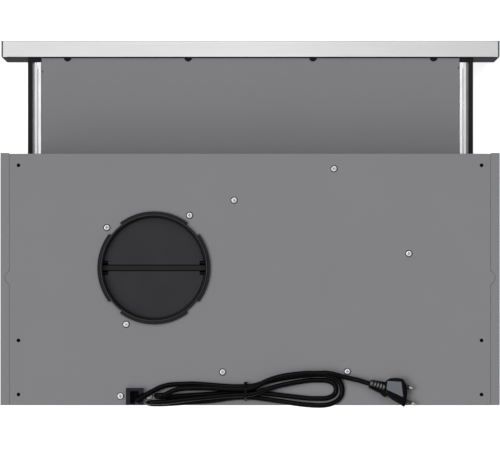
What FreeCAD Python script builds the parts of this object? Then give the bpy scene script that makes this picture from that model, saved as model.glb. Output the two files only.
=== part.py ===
import FreeCAD, Part
import math
import os

Vector = FreeCAD.Vector
UP = Vector(0, 0, 1)

# Lengths are millimetres. Front is -Y, right is +X as seen from the front, Z is up.
# The origin is at the floor, in the middle of the width and of the depth with the drawer out.

# Overall sizes of the hood
hood_width = 598.0
extended_depth = 437.8
body_depth = 302.2
body_height = 176.0
sheet = 1.0
seat_gap = 0.3
press_gap = 0.02
running_gap = 0.05
overrun = 5.0
rear_y = extended_depth / 2
front_y = -extended_depth / 2
body_front_y = rear_y - body_depth
half_width = hood_width / 2
plate_under = body_height - sheet

# Top plate and the side panels' flanges beside it
flange_width = 10.7
flange_seam = 0.3
plate_front_setback = 1.0
plate_rear_setback = 0.4
joggle_lap = 22.0
ear_from_rear = 152.7
ear_radius = 8.8
ear_reach = 5.4
ear_backing = 2.2
plate_half_width = half_width - flange_width - flange_seam

# Cabinet fixing holes through plate and flange
hanger_side_inset = 21.7
hanger_front_inset = 14.9
hanger_middle_from_rear = 77.6
hanger_rear_inset = 12.8
hanger_hole_radius = 2.2

# Front and rear panels
panel_lip = 12.0
drawer_mouth_height = 46.0
panel_side_gap = 0.2

# Base frame
base_plate_top = 11.0
rim_gap = 0.1
filter_lip = 8.0
lamp_hole_gap = 0.5

# Duct collar and its check flaps
duct_x = 115.1
duct_from_rear = 164.4
collar_bore_radius = 61.65
collar_wall = 2.0
collar_ring_radius = 64.7
collar_lug_radius = 67.7
collar_rim_rise = 6.0
collar_rim_step = 2.4
collar_rim_bevel = 1.5
collar_lug_height = 2.0
collar_lug_angle = 74.0
collar_skirt_drop = 18.0
collar_hole_gap = 0.2
flap_radius = 59.85
flap_thickness = 1.4
flap_seat_radius = 57.5
flap_seat_height = 2.0
flap_drop = 6.0
flap_inner_edge = 3.9
flap_axis_offset = 6.2
flap_axis_drop = 1.5
flap_pin_radius = 0.9
flap_barrel_radius = 1.8
flap_barrel_half = 53.6
flap_pocket_start = 54.8
flap_pocket_width = 8.3
crossbar_half = 3.0
crossbar_foot_half = 0.7
crossbar_height = 7.0
pin_seat_depth = 1.0

# Blower housing, a flat-lying volute with a round plenum under the collar
blower_x = -61.9
blower_from_rear = 158.7
housing_wall = 2.0
housing_floor_height = 60.0
housing_split_height = 112.0
housing_roof_drop = 3.0
volute_start_radius = 122.0
volute_end_radius = 106.5
volute_start_angle = 100.0
volute_end_angle = 322.0
volute_arcs = 4
plenum_radius = 67.0
plenum_low_angle = 235.0
plenum_high_angle = 80.0
shoulder_shares = ((0.67, 0.86), (0.26, 0.985))
rim_width = 4.0
rim_thickness = 1.5
inlet_radius = 76.0
inlet_rise = 22.0
boss_radius = 6.0
boss_height = 14.0
boss_web = 30.0

# Screws
screw_head_radius = 3.5
screw_head_height = 2.2
screw_shank_radius = 1.9
screw_length = 11.0
screw_edge_round = 1.0
recess_width = 0.9
recess_reach = 1.9
recess_depth = 1.2
box_screw_head_radius = 3.75
collar_screw_radius = 75.2
collar_screw_shares = (0.986, 1.0, 1.011)
collar_screw_angles = (-40.6, 63.8, 235.8)
housing_screw_radius = 130.4
housing_screw_shares = (0.91, 1.0, 1.0, 1.0, 1.166)
housing_screw_angles = (-47.0, 252.7, 190.1, 114.8, 51.5)
box_screw_spacing = 34.3
box_screw_from_rear = 10.9

# Motor and fan wheel
motor_radius = 46.0
motor_wall = 1.2
motor_height = 58.0
motor_split_share = 0.52
bracket_radius = 54.0
bracket_thickness = 2.0
bearing_outer_radius = 11.0
bearing_height = 7.0
bearing_cup_wall = 1.2
shaft_radius = 4.0
shaft_hole_gap = 1.0
shaft_end_gap = 0.6
stator_height = 26.0
stator_inner_radius = 27.0
stator_slots = 12
slot_width = 5.0
slot_depth = 9.0
winding_height = 11.0
winding_wall = 9.0
winding_round = 2.2
air_gap = 0.5
rotor_height = 28.0
wheel_radius = 88.0
wheel_inner_radius = 72.0
wheel_height = 60.0
wheel_plate = 1.5
wheel_roof_gap = 20.0
wheel_cup_gap = 4.0
wheel_hub_radius = 9.0
wheel_hub_height = 12.0
wheel_cup_floor_gap = 9.0
wheel_ring_width = 6.0
blade_count = 36
blade_thickness = 1.0
blade_bow = 3.0

# Capacitor and terminal box
capacitor_from_side = 64.0
capacitor_from_rear = 68.0
capacitor_radius = 15.0
capacitor_height = 60.0
capacitor_cap_height = 5.0
capacitor_cap_step = 1.0
box_width = 62.0
box_depth = 50.0
box_height = 35.0
box_wall = 1.2
box_rear_gap = 0.1
box_boss_radius = 4.5

# Cable gland and the bend relief that the cord leaves
gland_x = 137.95
gland_width = 21.1
gland_depth = 20.1
gland_rear_inset = 0.5
gland_height = 8.0
gland_floor = 1.0
gland_side_wall = 5.0
gland_exit_wall = 5.6
gland_front_wall = 3.7
gland_rear_wall = 1.6
gland_notch_inset = 1.0
gland_skirt_drop = 6.0
gland_skirt_inset = 2.0
relief_side = 2.6
relief_from_rear = 6.0
relief_height = 6.2
relief_length = 20.0
relief_root_radius = 4.0
relief_tip_radius = 3.4
relief_angle = 210.0
relief_stub_drop = 9.0
relief_stub_radius = 3.4
relief_grooves = 4
relief_groove_width = 1.2
relief_groove_depth = 0.5

# Mains cord: its free stretches keep the points below, x, y and height over the top plate,
# chosen with the body's rear edge at the place named here
route_rear_y = 218.9
cord_radius = 3.0
cord_rest = 3.3
lead_points = (
    (118.03, 202.9, 6.2),
    (110.67, 198.65, 6.2),
    (102.61, 195.64, 4.9),
    (94.17, 194.0, 3.6),
    (85.68, 193.75, 3.6),
)
tail_points = (
    (-99.5, 181.5, 8.9),
    (-109.4, 184.4, 6.8),
    (-120.2, 186.8, 5.6),
    (-132.17, 189.47, 7.2),
    (-143.2, 193.05, 7.2),
)

# Hank of the cord: two rounds folded flat, drawn in at the waist by the tie
hank_rounds = 2
waist_x = 5.15
waist_y = 203.0
waist_lift = 1.2
strand_pitch = 6.5
layer_rise = 7.0
lobe_runs = (92.0, 92.0, 84.35)
lobe_tops = (20.9, 14.1, 22.5)
lobe_top_rises = (0.0, 0.0, 6.2)
lobe_lows = (16.2, 7.9)
neck_run = 29.15
reaches = (115.7, 108.2)
reach_rises = (2.2, 3.2)
fold_radius = 6.1
fold_run = 110.45
fold_run_step = 9.5
fold_offset = 13.3
fold_offset_step = 7.0
fold_tilt = 1.1
left_run = 54.85
left_back_drop = 1.5
neck_out_shares = (0.45, 0.45, 0.60)
neck_back_share = 0.30
neck_layer_share = 0.86
neck_slope_share = 1.5
neck_fall_share = 1.2
neck_back_slope_share = 1.4
left_slope_share = 0.05
trim_share = 0.45

# Cable tie
tie_width = 3.0
tie_thickness = 0.9
tie_gap = 0.3
tie_head = 4.4
tie_head_height = 1.8

# Plug, lying flat with its pins to the left
plug_angle = 162.0
plug_length = 49.1
plug_thickness = 13.6
plug_edge_round = 3.0
plug_relief_length = 18.5
plug_relief_radius = 5.2
plug_relief_end_width = 8.0
plug_relief_end_height = 6.2
plug_ribs = 4
plug_rib_gap = 1.6
plug_rib_depth = 1.8
plug_rib_reach_share = 0.64
plug_outline_shares = (
    (0.345, 0.150),
    (0.385, 0.234),
    (0.446, 0.287),
    (0.607, 0.348),
    (0.737, 0.360),
    (0.839, 0.287),
    (0.951, 0.063),
    (1.000, -0.208),
    (0.973, -0.281),
    (0.662, -0.212),
    (0.428, -0.132),
)
pin_radius = 2.0
pin_sleeve_radius = 2.3
pin_spacing = 17.0
pin_offset = 2.0
pin_out = 9.6
pin_in = 9.4
pin_sleeve_out = 4.0
pin_stagger = 8.6
pin_tip_share = 1.06

# Front strip, its end caps and the carrier moulding behind it
strip_overhang = 1.0
strip_height = 45.0
strip_depth = 19.4
strip_floor_gap = 1.0
strip_sheet = 0.8
strip_bottom_depth = 15.0
cap_thickness = 2.0
cap_tongue = 4.5
cap_tongue_wall = 1.5
carrier_ledge = 6.6
carrier_wall = 2.0
carrier_lip_rise = 1.0
carrier_lip_width = 1.8
strip_slack = 0.1

# Tray
tray_top = 40.0
tray_side_gap = 47.5
tray_front_lap = 7.0
tray_rear_lap = 23.9
tray_skirt = 13.0
tray_screw_radius = 4.5
tray_screw_height = 2.2
tray_screw_shares = (0.299, 0.8763)
tray_screw_proud = 1.0

# Drawer slides, runners, brackets and fixed rails
slide_gap = 0.6
slide_width = 7.6
slide_sheet = 1.0
slide_top = 41.0
slide_foot_reach = 12.0
slide_corner = 3.0
slide_groove_width = 1.0
slide_groove_depth = 0.4
slide_rear_length = 104.0
runner_lip_width = 2.7
runner_bar_width = 5.7
runner_height = 12.0
runner_lip_drop = 4.0
runner_clearance = 0.3
rail_sheet = 1.2
rail_foot = 12.0
rail_front_gap = 3.0
rail_length = 222.0
bracket_gap = 0.3
bracket_tongue = 22.0
drawer_closed_gap = 0.9

# Grease filters
filter_gap = 12.0
filter_side_gap = 45.0
filter_from_front = 39.9
filter_from_rear = 58.3
filter_thickness = 9.0
filter_border = 12.0
mesh_thickness = 3.0
mesh_columns = 12
mesh_rows = 9
mesh_web = 4.0
hook_width = 16.0
hook_reach = 4.0
hook_inset = 60.0
latch_block_width = 40.0
latch_block_depth = 26.0
latch_width = 32.0
latch_length = 12.0
latch_height = 4.0
latch_travel = 4.0
latch_play = 0.3
latch_wall = 3.0
tongue_width = 20.0
tongue_reach = 3.2
tongue_height = 1.8
catch_height = 7.3
catch_lip = 1.0
catch_width = 28.0
catch_gap = 0.4
catch_reach = 2.0

# Lamps
lamp_from_side = 99.0
lamp_from_rear = 29.3
lamp_radius = 24.0
lamp_flange_radius = 26.0
lamp_flange = 2.0
lamp_height = 16.0
lamp_wall = 1.5
lens_radius = 22.0
lens_thickness = 2.0
lens_seat = 1.0

# Slide switches in the front of the base frame
switch_from_front = 17.9
switch_width = 18.0
switch_height = 12.0
switch_wall = 1.5
speed_switch_x = -125.0
light_switch_x = 118.0
speed_travel = 24.0
light_travel = 8.0
knob_length = 14.0
knob_width = 9.0
knob_height = 5.5
stem_length = 5.0
stem_width = 2.6
stem_play = 0.4
carriage_height = 5.0

# Places worked out from the sizes above
duct_y = rear_y - duct_from_rear
blower_y = rear_y - blower_from_rear
body_top = body_height
lug_top = body_top + collar_rim_rise - collar_rim_step
roof_top = plate_under - housing_roof_drop
roof_under = roof_top - housing_wall
flap_top = body_top - flap_drop
flap_under = flap_top - flap_thickness
flap_axis_z = flap_under - flap_axis_drop
motor_top = roof_under - bracket_thickness
motor_bottom = motor_top - motor_height
motor_split = motor_bottom + motor_height * motor_split_share
shaft_top = motor_top - motor_wall - shaft_end_gap
wheel_top = roof_under - wheel_roof_gap
wheel_cup_radius = motor_radius + wheel_cup_gap
wheel_cup_floor = motor_bottom - wheel_cup_floor_gap
stator_radius = motor_radius - motor_wall - press_gap
stator_bottom = motor_split - stator_height / 2
base_plate_under = base_plate_top - sheet
base_front_y = body_front_y + plate_front_setback
base_rear_y = rear_y - sheet - rim_gap
strip_half_width = half_width + strip_overhang
strip_rear_y = front_y + strip_depth
carrier_rear_y = strip_rear_y + carrier_ledge
strip_bottom = strip_floor_gap
tray_under = tray_top - sheet
tray_front_y = strip_rear_y - tray_front_lap
tray_rear_y = body_front_y + tray_rear_lap
tray_screw_y = strip_rear_y + tray_screw_proud
tray_half_width = half_width - tray_side_gap
slide_inner_x = tray_half_width + slide_gap
slide_outer_x = slide_inner_x + slide_width
slide_bottom = tray_under - tray_skirt
runner_lip_x = slide_outer_x + runner_lip_width
runner_outer_x = runner_lip_x + runner_bar_width
runner_bottom = tray_top - runner_height
runner_front_y = carrier_rear_y + strip_slack
slide_rear_y = body_front_y + slide_rear_length
rail_front_y = body_front_y + rail_front_gap
rail_rear_y = rail_front_y + rail_length
filter_front_y = body_front_y + filter_from_front
filter_rear_y = rear_y - filter_from_rear
filter_bottom = base_plate_under - filter_thickness
switch_y = body_front_y + switch_from_front
lamp_x = half_width - lamp_from_side
lamp_y = rear_y - lamp_from_rear
box_screw_y = rear_y - box_screw_from_rear
relief_x = gland_x - relief_side
relief_y = rear_y - relief_from_rear
gland_rear_y = rear_y - gland_rear_inset
gland_front_y = gland_rear_y - gland_depth
drawer_travel = body_front_y - carrier_rear_y - drawer_closed_gap


def box(x0, x1, y0, y1, z0, z1):
    return Part.makeBox(x1 - x0, y1 - y0, z1 - z0, Vector(x0, y0, z0))


def disc(x, y, z0, z1, radius):
    return Part.makeCylinder(radius, z1 - z0, Vector(x, y, z0))


def ring(x, y, z0, z1, outer, inner):
    hole = disc(x, y, z0 - overrun, z1 + overrun, inner)
    return disc(x, y, z0, z1, outer).cut(hole)


def rod_x(x0, x1, y, z, radius):
    return Part.makeCylinder(radius, x1 - x0, Vector(x0, y, z), Vector(1, 0, 0))


def prism_z(points, z0, z1):
    corners = [Vector(x, y, z0) for x, y in points]
    face = Part.Face(Part.makePolygon(corners + corners[:1]))
    return face.extrude(UP * (z1 - z0))


def prism_y(points, y0, y1):
    corners = [Vector(x, y0, z) for x, z in points]
    face = Part.Face(Part.makePolygon(corners + corners[:1]))
    return face.extrude(Vector(0, y1 - y0, 0))


def prism_x(points, x0, x1):
    corners = [Vector(x0, y, z) for y, z in points]
    face = Part.Face(Part.makePolygon(corners + corners[:1]))
    return face.extrude(Vector(x1 - x0, 0, 0))


def fuse(shapes):
    return shapes[0].multiFuse(shapes[1:]).removeSplitter()


def mirrored(shape):
    return shape.mirror(Vector(0, 0, 0), Vector(1, 0, 0))


def polar(x, y, radius, degrees):
    turn = math.radians(degrees)
    return x + radius * math.cos(turn), y + radius * math.sin(turn)


# Screw places on the top plate
def collar_screw_places():
    return [polar(duct_x, duct_y, collar_screw_radius * share, turn)
            for share, turn in zip(collar_screw_shares, collar_screw_angles)]


def housing_screw_places():
    return [polar(blower_x, blower_y, housing_screw_radius * share, turn)
            for share, turn in zip(housing_screw_shares, housing_screw_angles)]


def box_screw_places():
    return [(gland_x + side * box_screw_spacing / 2, box_screw_y) for side in (-1, 1)]


def hanger_places():
    rows = (body_front_y + hanger_front_inset, rear_y - hanger_middle_from_rear,
            rear_y - hanger_rear_inset)
    return [(side * (half_width - hanger_side_inset), row) for side in (-1, 1) for row in rows]


def pan_screw(x, y, z, head_radius):
    head = disc(x, y, z, z + screw_head_height, head_radius)
    rim = [edge for edge in head.Edges if edge.BoundBox.ZMin > z + screw_head_height / 2]
    head = head.makeFillet(screw_edge_round, rim[:1])
    shank = disc(x, y, z - screw_length, z + screw_edge_round, screw_shank_radius)
    floor = z + screw_head_height - recess_depth
    top = z + screw_head_height + overrun
    slot_a = box(x - recess_reach, x + recess_reach, y - recess_width / 2, y + recess_width / 2,
                 floor, top)
    slot_b = box(x - recess_width / 2, x + recess_width / 2, y - recess_reach, y + recess_reach,
                 floor, top)
    return fuse([head, shank]).cut([slot_a, slot_b])


# Casing
def ear_disc(radius, z0, z1):
    centre_x = plate_half_width + ear_reach - ear_radius
    return disc(centre_x, rear_y - ear_from_rear, z0, z1, radius)


def top_plate():
    front = body_front_y + plate_front_setback
    plate = box(-plate_half_width, plate_half_width, front, rear_y - plate_rear_setback,
                plate_under, body_top)
    ear = ear_disc(ear_radius, plate_under, body_top)
    plate = fuse([plate, ear, mirrored(ear)])
    cuts = [disc(duct_x, duct_y, plate_under - overrun, body_top + overrun,
                 collar_bore_radius + collar_wall + collar_hole_gap)]
    for x, y in hanger_places():
        cuts.append(disc(x, y, plate_under - overrun, body_top + overrun, hanger_hole_radius))
    for x, y in collar_screw_places() + housing_screw_places() + box_screw_places():
        cuts.append(disc(x, y, plate_under - overrun, body_top + overrun,
                         screw_shank_radius + running_gap))
    inset = gland_skirt_inset - seat_gap
    cuts.append(box(gland_x - gland_width / 2 + inset, gland_x + gland_width / 2 - inset,
                    gland_front_y + inset, gland_rear_y - inset,
                    plate_under - overrun, body_top + overrun))
    return plate.cut(cuts)


def side_panel():
    outer = half_width
    inner = half_width - sheet
    seam = half_width - flange_width
    lap = seam - joggle_lap
    wall = box(inner, outer, body_front_y, rear_y, 0, body_top)
    flange = box(seam, outer, body_front_y, rear_y, plate_under, body_top)
    step = box(seam, seam + sheet, body_front_y, rear_y, plate_under - sheet, body_top)
    shelf = box(lap, seam + sheet, body_front_y + plate_front_setback, rear_y - sheet,
                plate_under - sheet, plate_under)
    ear_floor = ear_disc(ear_radius + ear_backing, plate_under - sheet, plate_under)
    ear_room = ear_disc(ear_radius + flange_seam, plate_under, body_top + overrun)
    panel = fuse([wall, flange, step, shelf, ear_floor]).cut(ear_room)
    front_flange = box(inner - panel_lip, inner, base_front_y + sheet, base_front_y + 2 * sheet,
                       drawer_mouth_height, plate_under - sheet)
    rear_flange = box(inner - panel_lip, inner, rear_y - 2 * sheet, rear_y - sheet,
                      base_plate_top, plate_under - sheet)
    panel = fuse([panel, front_flange, rear_flange])
    holes = [disc(x, y, plate_under - overrun, body_top + overrun, hanger_hole_radius)
             for x, y in hanger_places() if x > 0]
    return panel.cut(holes)


def front_panel():
    half = half_width - sheet - panel_side_gap
    shelf_edge = half_width - flange_width - joggle_lap - panel_side_gap
    wall = box(-half, half, base_front_y, base_front_y + sheet,
               drawer_mouth_height, plate_under - sheet)
    rise = box(-shelf_edge, shelf_edge, base_front_y, base_front_y + sheet,
               plate_under - 2 * sheet, plate_under)
    top_lip = box(-shelf_edge, shelf_edge, base_front_y, base_front_y + panel_lip,
                  plate_under - sheet, plate_under)
    low_lip = box(-shelf_edge, shelf_edge, base_front_y, base_front_y + panel_lip,
                  drawer_mouth_height, drawer_mouth_height + sheet)
    return fuse([wall, rise, top_lip, low_lip])


def rear_panel():
    half = half_width - sheet - panel_side_gap
    shelf_edge = half_width - flange_width - joggle_lap - panel_side_gap
    wall = box(-half, half, rear_y - sheet, rear_y, 0, plate_under - sheet)
    rise = box(-shelf_edge, shelf_edge, rear_y - sheet, rear_y, plate_under - 2 * sheet, plate_under)
    lip_low = box(-shelf_edge, gland_x - box_width / 2 - seat_gap, rear_y - panel_lip, rear_y,
                  plate_under - sheet, plate_under)
    lip_high = box(gland_x + box_width / 2 + seat_gap, shelf_edge, rear_y - panel_lip, rear_y,
                   plate_under - sheet, plate_under)
    return fuse([wall, rise, lip_low, lip_high])


def filter_span():
    inner = filter_gap / 2
    return inner, half_width - filter_side_gap


def latch_centre():
    inner, outer = filter_span()
    return (inner + outer) / 2


def base_frame():
    half = half_width - sheet - rim_gap
    pan = box(-half, half, base_front_y, base_rear_y, 0, base_plate_top)
    room = box(-half + sheet, half - sheet, base_front_y + sheet, base_rear_y - sheet,
               -overrun, base_plate_under)
    pan = pan.cut(room)
    inner, outer = filter_span()
    low = base_plate_under - overrun
    high = base_plate_top + overrun
    cuts = []
    for side in (-1, 1):
        edges = sorted((side * (inner + filter_lip), side * (outer - filter_lip)))
        cuts.append(box(edges[0], edges[1], filter_front_y + filter_lip,
                        filter_rear_y - filter_lip, low, high))
        cuts.append(disc(side * lamp_x, lamp_y, low, high, lamp_radius + lamp_hole_gap))
    for x, travel in ((speed_switch_x, speed_travel), (light_switch_x, light_travel)):
        half_slot = (stem_length + travel) / 2 + stem_play
        cuts.append(box(x - half_slot, x + half_slot, switch_y - stem_width / 2 - stem_play,
                        switch_y + stem_width / 2 + stem_play, low, high))
    pan = pan.cut(cuts)
    catch = latch_catch()
    return fuse([pan, catch, mirrored(catch)])


def latch_catch():
    x = latch_centre()
    lip_rear = filter_front_y - seat_gap - (tongue_reach - catch_reach)
    wall_rear = filter_front_y - tongue_reach - 2 * catch_reach
    bottom = base_plate_under - catch_height
    wall = box(x - catch_width / 2, x + catch_width / 2, wall_rear - sheet, wall_rear,
               bottom, base_plate_under)
    lip = box(x - catch_width / 2, x + catch_width / 2, wall_rear - sheet, lip_rear,
              bottom, bottom + catch_lip)
    return fuse([wall, lip])


# Duct collar and check flaps
def lug(turn):
    base = lug_top - collar_lug_height
    band = ring(duct_x, duct_y, base, lug_top, collar_lug_radius, collar_bore_radius)
    far = 2 * collar_lug_radius
    half = collar_lug_angle / 2
    sector = [(duct_x, duct_y)]
    sector += [polar(duct_x, duct_y, far, turn + step * half) for step in (-1, 0, 1)]
    return band.common(prism_z(sector, base - overrun, lug_top + overrun))


def duct_collar():
    skirt = ring(duct_x, duct_y, body_top - collar_skirt_drop, body_top + collar_rim_rise,
                 collar_bore_radius + collar_wall, collar_bore_radius)
    band = ring(duct_x, duct_y, body_top, lug_top, collar_ring_radius, collar_bore_radius)
    seat_top = flap_under - seat_gap
    seat = ring(duct_x, duct_y, seat_top - flap_seat_height, seat_top,
                collar_bore_radius + collar_wall / 2, flap_seat_radius)
    bar_top = flap_top - seat_gap
    bar_bottom = bar_top - crossbar_height
    section = [(duct_y - crossbar_foot_half, bar_bottom), (duct_y + crossbar_foot_half, bar_bottom),
               (duct_y + crossbar_half, bar_top), (duct_y - crossbar_half, bar_top)]
    bar = prism_x(section, duct_x - collar_bore_radius - collar_wall / 2,
                  duct_x + collar_bore_radius + collar_wall / 2)
    lugs = [lug(turn) for turn in (0.0, 90.0, 180.0, 270.0)]
    collar = fuse([skirt, band, seat, bar] + lugs)
    bevel_low = body_top + collar_rim_rise - collar_rim_bevel
    bevel_reach = collar_rim_bevel + overrun
    cuts = [Part.makeCone(collar_bore_radius, collar_bore_radius + bevel_reach, bevel_reach,
                          Vector(duct_x, duct_y, bevel_low))]
    for side in (-1, 1):
        y = duct_y + side * flap_axis_offset
        seat_x = math.sqrt(collar_bore_radius ** 2 - flap_axis_offset ** 2) + pin_seat_depth
        cuts.append(rod_x(duct_x - seat_x, duct_x + seat_x, y, flap_axis_z,
                          flap_pin_radius + running_gap))
    return collar.cut(cuts + seat_notches(seat_top))


def seat_notches(seat_top):
    low = seat_top - flap_seat_height
    bore = disc(duct_x, duct_y, low - overrun, seat_top + overrun, collar_bore_radius)
    notches = []
    for side in (-1, 1):
        edges = sorted((duct_y + side * crossbar_half, duct_y + side * flap_pocket_width))
        for end in (-1, 1):
            ends = sorted((duct_x + end * flap_pocket_start, duct_x + end * collar_ring_radius))
            notches.append(box(ends[0], ends[1], edges[0], edges[1], low - overrun,
                               seat_top + overrun).common(bore))
    return notches


def flap_pins():
    reach_x = math.sqrt(collar_bore_radius ** 2 - flap_axis_offset ** 2) + pin_seat_depth - seat_gap
    pins = [rod_x(duct_x - reach_x, duct_x + reach_x, duct_y + side * flap_axis_offset,
                  flap_axis_z, flap_pin_radius) for side in (-1, 1)]
    return Part.makeCompound(pins)


def flap(side):
    plate = disc(duct_x, duct_y, flap_under, flap_top, flap_radius)
    far = 2 * flap_radius
    edges = sorted((duct_y + side * flap_inner_edge, duct_y + side * far))
    half = box(duct_x - far, duct_x + far, edges[0], edges[1], flap_under, flap_top)
    plate = plate.common(half)
    y = duct_y + side * flap_axis_offset
    barrel = rod_x(duct_x - flap_barrel_half, duct_x + flap_barrel_half, y, flap_axis_z,
                   flap_barrel_radius)
    body = fuse([plate, barrel])
    cuts = [rod_x(duct_x - far, duct_x + far, y, flap_axis_z, flap_pin_radius + running_gap)]
    pocket_edges = sorted((duct_y, duct_y + side * flap_pocket_width))
    for end in (-1, 1):
        ends = sorted((duct_x + end * flap_pocket_start, duct_x + end * far))
        cuts.append(box(ends[0], ends[1], pocket_edges[0], pocket_edges[1],
                        flap_axis_z - overrun, flap_top + overrun))
    return body.cut(cuts)


# Blower housing
def volute_point(turn, inset):
    share = (turn - volute_start_angle) / (volute_end_angle - volute_start_angle)
    radius = volute_start_radius + share * (volute_end_radius - volute_start_radius) - inset
    x, y = polar(blower_x, blower_y, radius, turn)
    return Vector(x, y, 0)


def plenum_point(turn, inset):
    x, y = polar(duct_x, duct_y, plenum_radius - inset, turn)
    return Vector(x, y, 0)


def shoulder_point(share_x, share_y, inset):
    span = duct_x - blower_x
    height = volute_start_radius - inset
    return Vector(blower_x + span * share_x, blower_y + height * share_y, 0)


def housing_outline(inset):
    edges = []
    step = (volute_end_angle - volute_start_angle) / volute_arcs
    for i in range(volute_arcs):
        start = volute_start_angle + i * step
        edges.append(Part.Arc(volute_point(start, inset), volute_point(start + step / 2, inset),
                              volute_point(start + step, inset)).toShape())
    tongue = volute_point(volute_end_angle, inset)
    low = plenum_point(plenum_low_angle, inset)
    high = plenum_point(plenum_high_angle, inset)
    middle_turn = (plenum_low_angle - 360.0 + plenum_high_angle) / 2
    edges.append(Part.LineSegment(tongue, low).toShape())
    edges.append(Part.Arc(low, plenum_point(middle_turn, inset), high).toShape())
    outer = shoulder_point(shoulder_shares[0][0], shoulder_shares[0][1], inset)
    inner = shoulder_point(shoulder_shares[1][0], shoulder_shares[1][1], inset)
    edges.append(Part.LineSegment(high, outer).toShape())
    edges.append(Part.Arc(outer, inner, volute_point(volute_start_angle, inset)).toShape())
    return Part.Face(Part.Wire(edges))


def housing_slab(inset, z0, z1):
    face = housing_outline(inset)
    face.translate(Vector(0, 0, z0))
    return face.extrude(UP * (z1 - z0))


def boss(x, y, centre_x, centre_y):
    bottom = plate_under - boss_height
    post = disc(x, y, bottom, plate_under, boss_radius)
    web = box(0, boss_web, -boss_radius, boss_radius, roof_under, roof_top)
    turn = math.degrees(math.atan2(centre_y - y, centre_x - x))
    web.rotate(Vector(0, 0, 0), UP, turn)
    web.translate(Vector(x, y, 0))
    return fuse([post, web])


def blower_housing_upper():
    shell = housing_slab(0, housing_split_height, roof_top)
    room = housing_slab(housing_wall, housing_split_height - overrun, roof_under)
    rim = housing_slab(-rim_width, housing_split_height, housing_split_height + rim_thickness)
    bosses = [boss(x, y, blower_x, blower_y) for x, y in housing_screw_places()]
    bosses += [boss(x, y, duct_x, duct_y) for x, y in collar_screw_places()]
    body = fuse([shell, rim] + bosses).cut(room)
    cuts = [disc(duct_x, duct_y, roof_under - overrun, roof_top + overrun,
                 collar_bore_radius + collar_wall + collar_hole_gap)]
    for x, y in housing_screw_places() + collar_screw_places():
        cuts.append(disc(x, y, plate_under - screw_length - seat_gap, plate_under + overrun,
                         screw_shank_radius + running_gap))
    return body.cut(cuts)


def blower_housing_lower():
    shell = housing_slab(0, housing_floor_height, housing_split_height)
    room = housing_slab(housing_wall, housing_floor_height + housing_wall,
                        housing_split_height + overrun)
    rim = housing_slab(-rim_width, housing_split_height - rim_thickness, housing_split_height)
    body = fuse([shell, rim]).cut(room)
    mouth_top = housing_floor_height + inlet_rise
    mouth = disc(blower_x, blower_y, housing_floor_height, mouth_top, inlet_radius + housing_wall)
    hole = disc(blower_x, blower_y, housing_floor_height - overrun, mouth_top + overrun, inlet_radius)
    return fuse([body, mouth]).cut(hole)


# Motor and fan wheel
def motor_bracket():
    plate = ring(blower_x, blower_y, motor_top, roof_under, bracket_radius, bearing_outer_radius)
    return plate


def motor_cap(z_flat, z_open, facing):
    low, high = sorted((z_flat, z_open))
    cup = disc(blower_x, blower_y, low, high, motor_radius)
    flat_inner = z_flat + facing * motor_wall
    room_low, room_high = sorted((flat_inner, z_open + facing * overrun))
    cup = cup.cut(disc(blower_x, blower_y, room_low, room_high, motor_radius - motor_wall))
    seat_low, seat_high = sorted((z_flat + facing * motor_wall / 2,
                                  flat_inner + facing * bearing_height))
    seat = ring(blower_x, blower_y, seat_low, seat_high,
                bearing_outer_radius + press_gap + bearing_cup_wall,
                bearing_outer_radius + press_gap)
    return fuse([cup, seat])


def motor_cap_upper():
    return motor_cap(motor_top, motor_split, -1)


def motor_cap_lower():
    cap = motor_cap(motor_bottom, motor_split, 1)
    hole = disc(blower_x, blower_y, motor_bottom - overrun, motor_bottom + overrun / 2,
                shaft_radius + shaft_hole_gap)
    return cap.cut(hole)


def motor_bearings():
    low = motor_bottom + motor_wall
    high = motor_top - motor_wall - bearing_height
    rings = [ring(blower_x, blower_y, z, z + bearing_height, bearing_outer_radius,
                  shaft_radius + running_gap) for z in (low, high)]
    return Part.makeCompound(rings)


def stator_core():
    core = ring(blower_x, blower_y, stator_bottom, stator_bottom + stator_height,
                stator_radius, stator_inner_radius)
    slots = []
    for i in range(stator_slots):
        slot = box(stator_inner_radius - overrun, stator_inner_radius + slot_depth,
                   -slot_width / 2, slot_width / 2, stator_bottom - overrun,
                   stator_bottom + stator_height + overrun)
        slot.rotate(Vector(0, 0, 0), UP, 360.0 * i / stator_slots)
        slot.translate(Vector(blower_x, blower_y, 0))
        slots.append(slot)
    return core.cut(slots)


def stator_windings():
    outer = stator_inner_radius + slot_depth
    inner = outer - winding_wall
    top = stator_bottom + stator_height
    coils = [ring(blower_x, blower_y, top, top + winding_height, outer, inner),
             ring(blower_x, blower_y, stator_bottom - winding_height, stator_bottom, outer, inner)]
    rounded = []
    for coil in coils:
        rounded.append(coil.makeFillet(winding_round, coil.Edges))
    return Part.makeCompound(rounded)


def rotor_core():
    low = motor_split - rotor_height / 2
    return ring(blower_x, blower_y, low, low + rotor_height,
                stator_inner_radius - air_gap, shaft_radius + press_gap)


def motor_shaft():
    low = wheel_cup_floor - wheel_hub_height / 2
    return disc(blower_x, blower_y, low, shaft_top, shaft_radius)


def blade():
    bow = blade_bow
    half = blade_thickness / 2
    inner = wheel_inner_radius
    outer = wheel_radius - wheel_plate / 2
    middle = (inner + outer) / 2
    front = Part.Arc(Vector(inner, -half, 0), Vector(middle, bow - half, 0),
                     Vector(outer, -half, 0)).toShape()
    back = Part.Arc(Vector(outer, half, 0), Vector(middle, bow + half, 0),
                    Vector(inner, half, 0)).toShape()
    tip = Part.LineSegment(Vector(outer, -half, 0), Vector(outer, half, 0)).toShape()
    root = Part.LineSegment(Vector(inner, half, 0), Vector(inner, -half, 0)).toShape()
    face = Part.Face(Part.Wire([front, tip, back, root]))
    face.translate(Vector(0, 0, wheel_top - wheel_height))
    return face.extrude(UP * (wheel_height - wheel_plate / 2))


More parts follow.
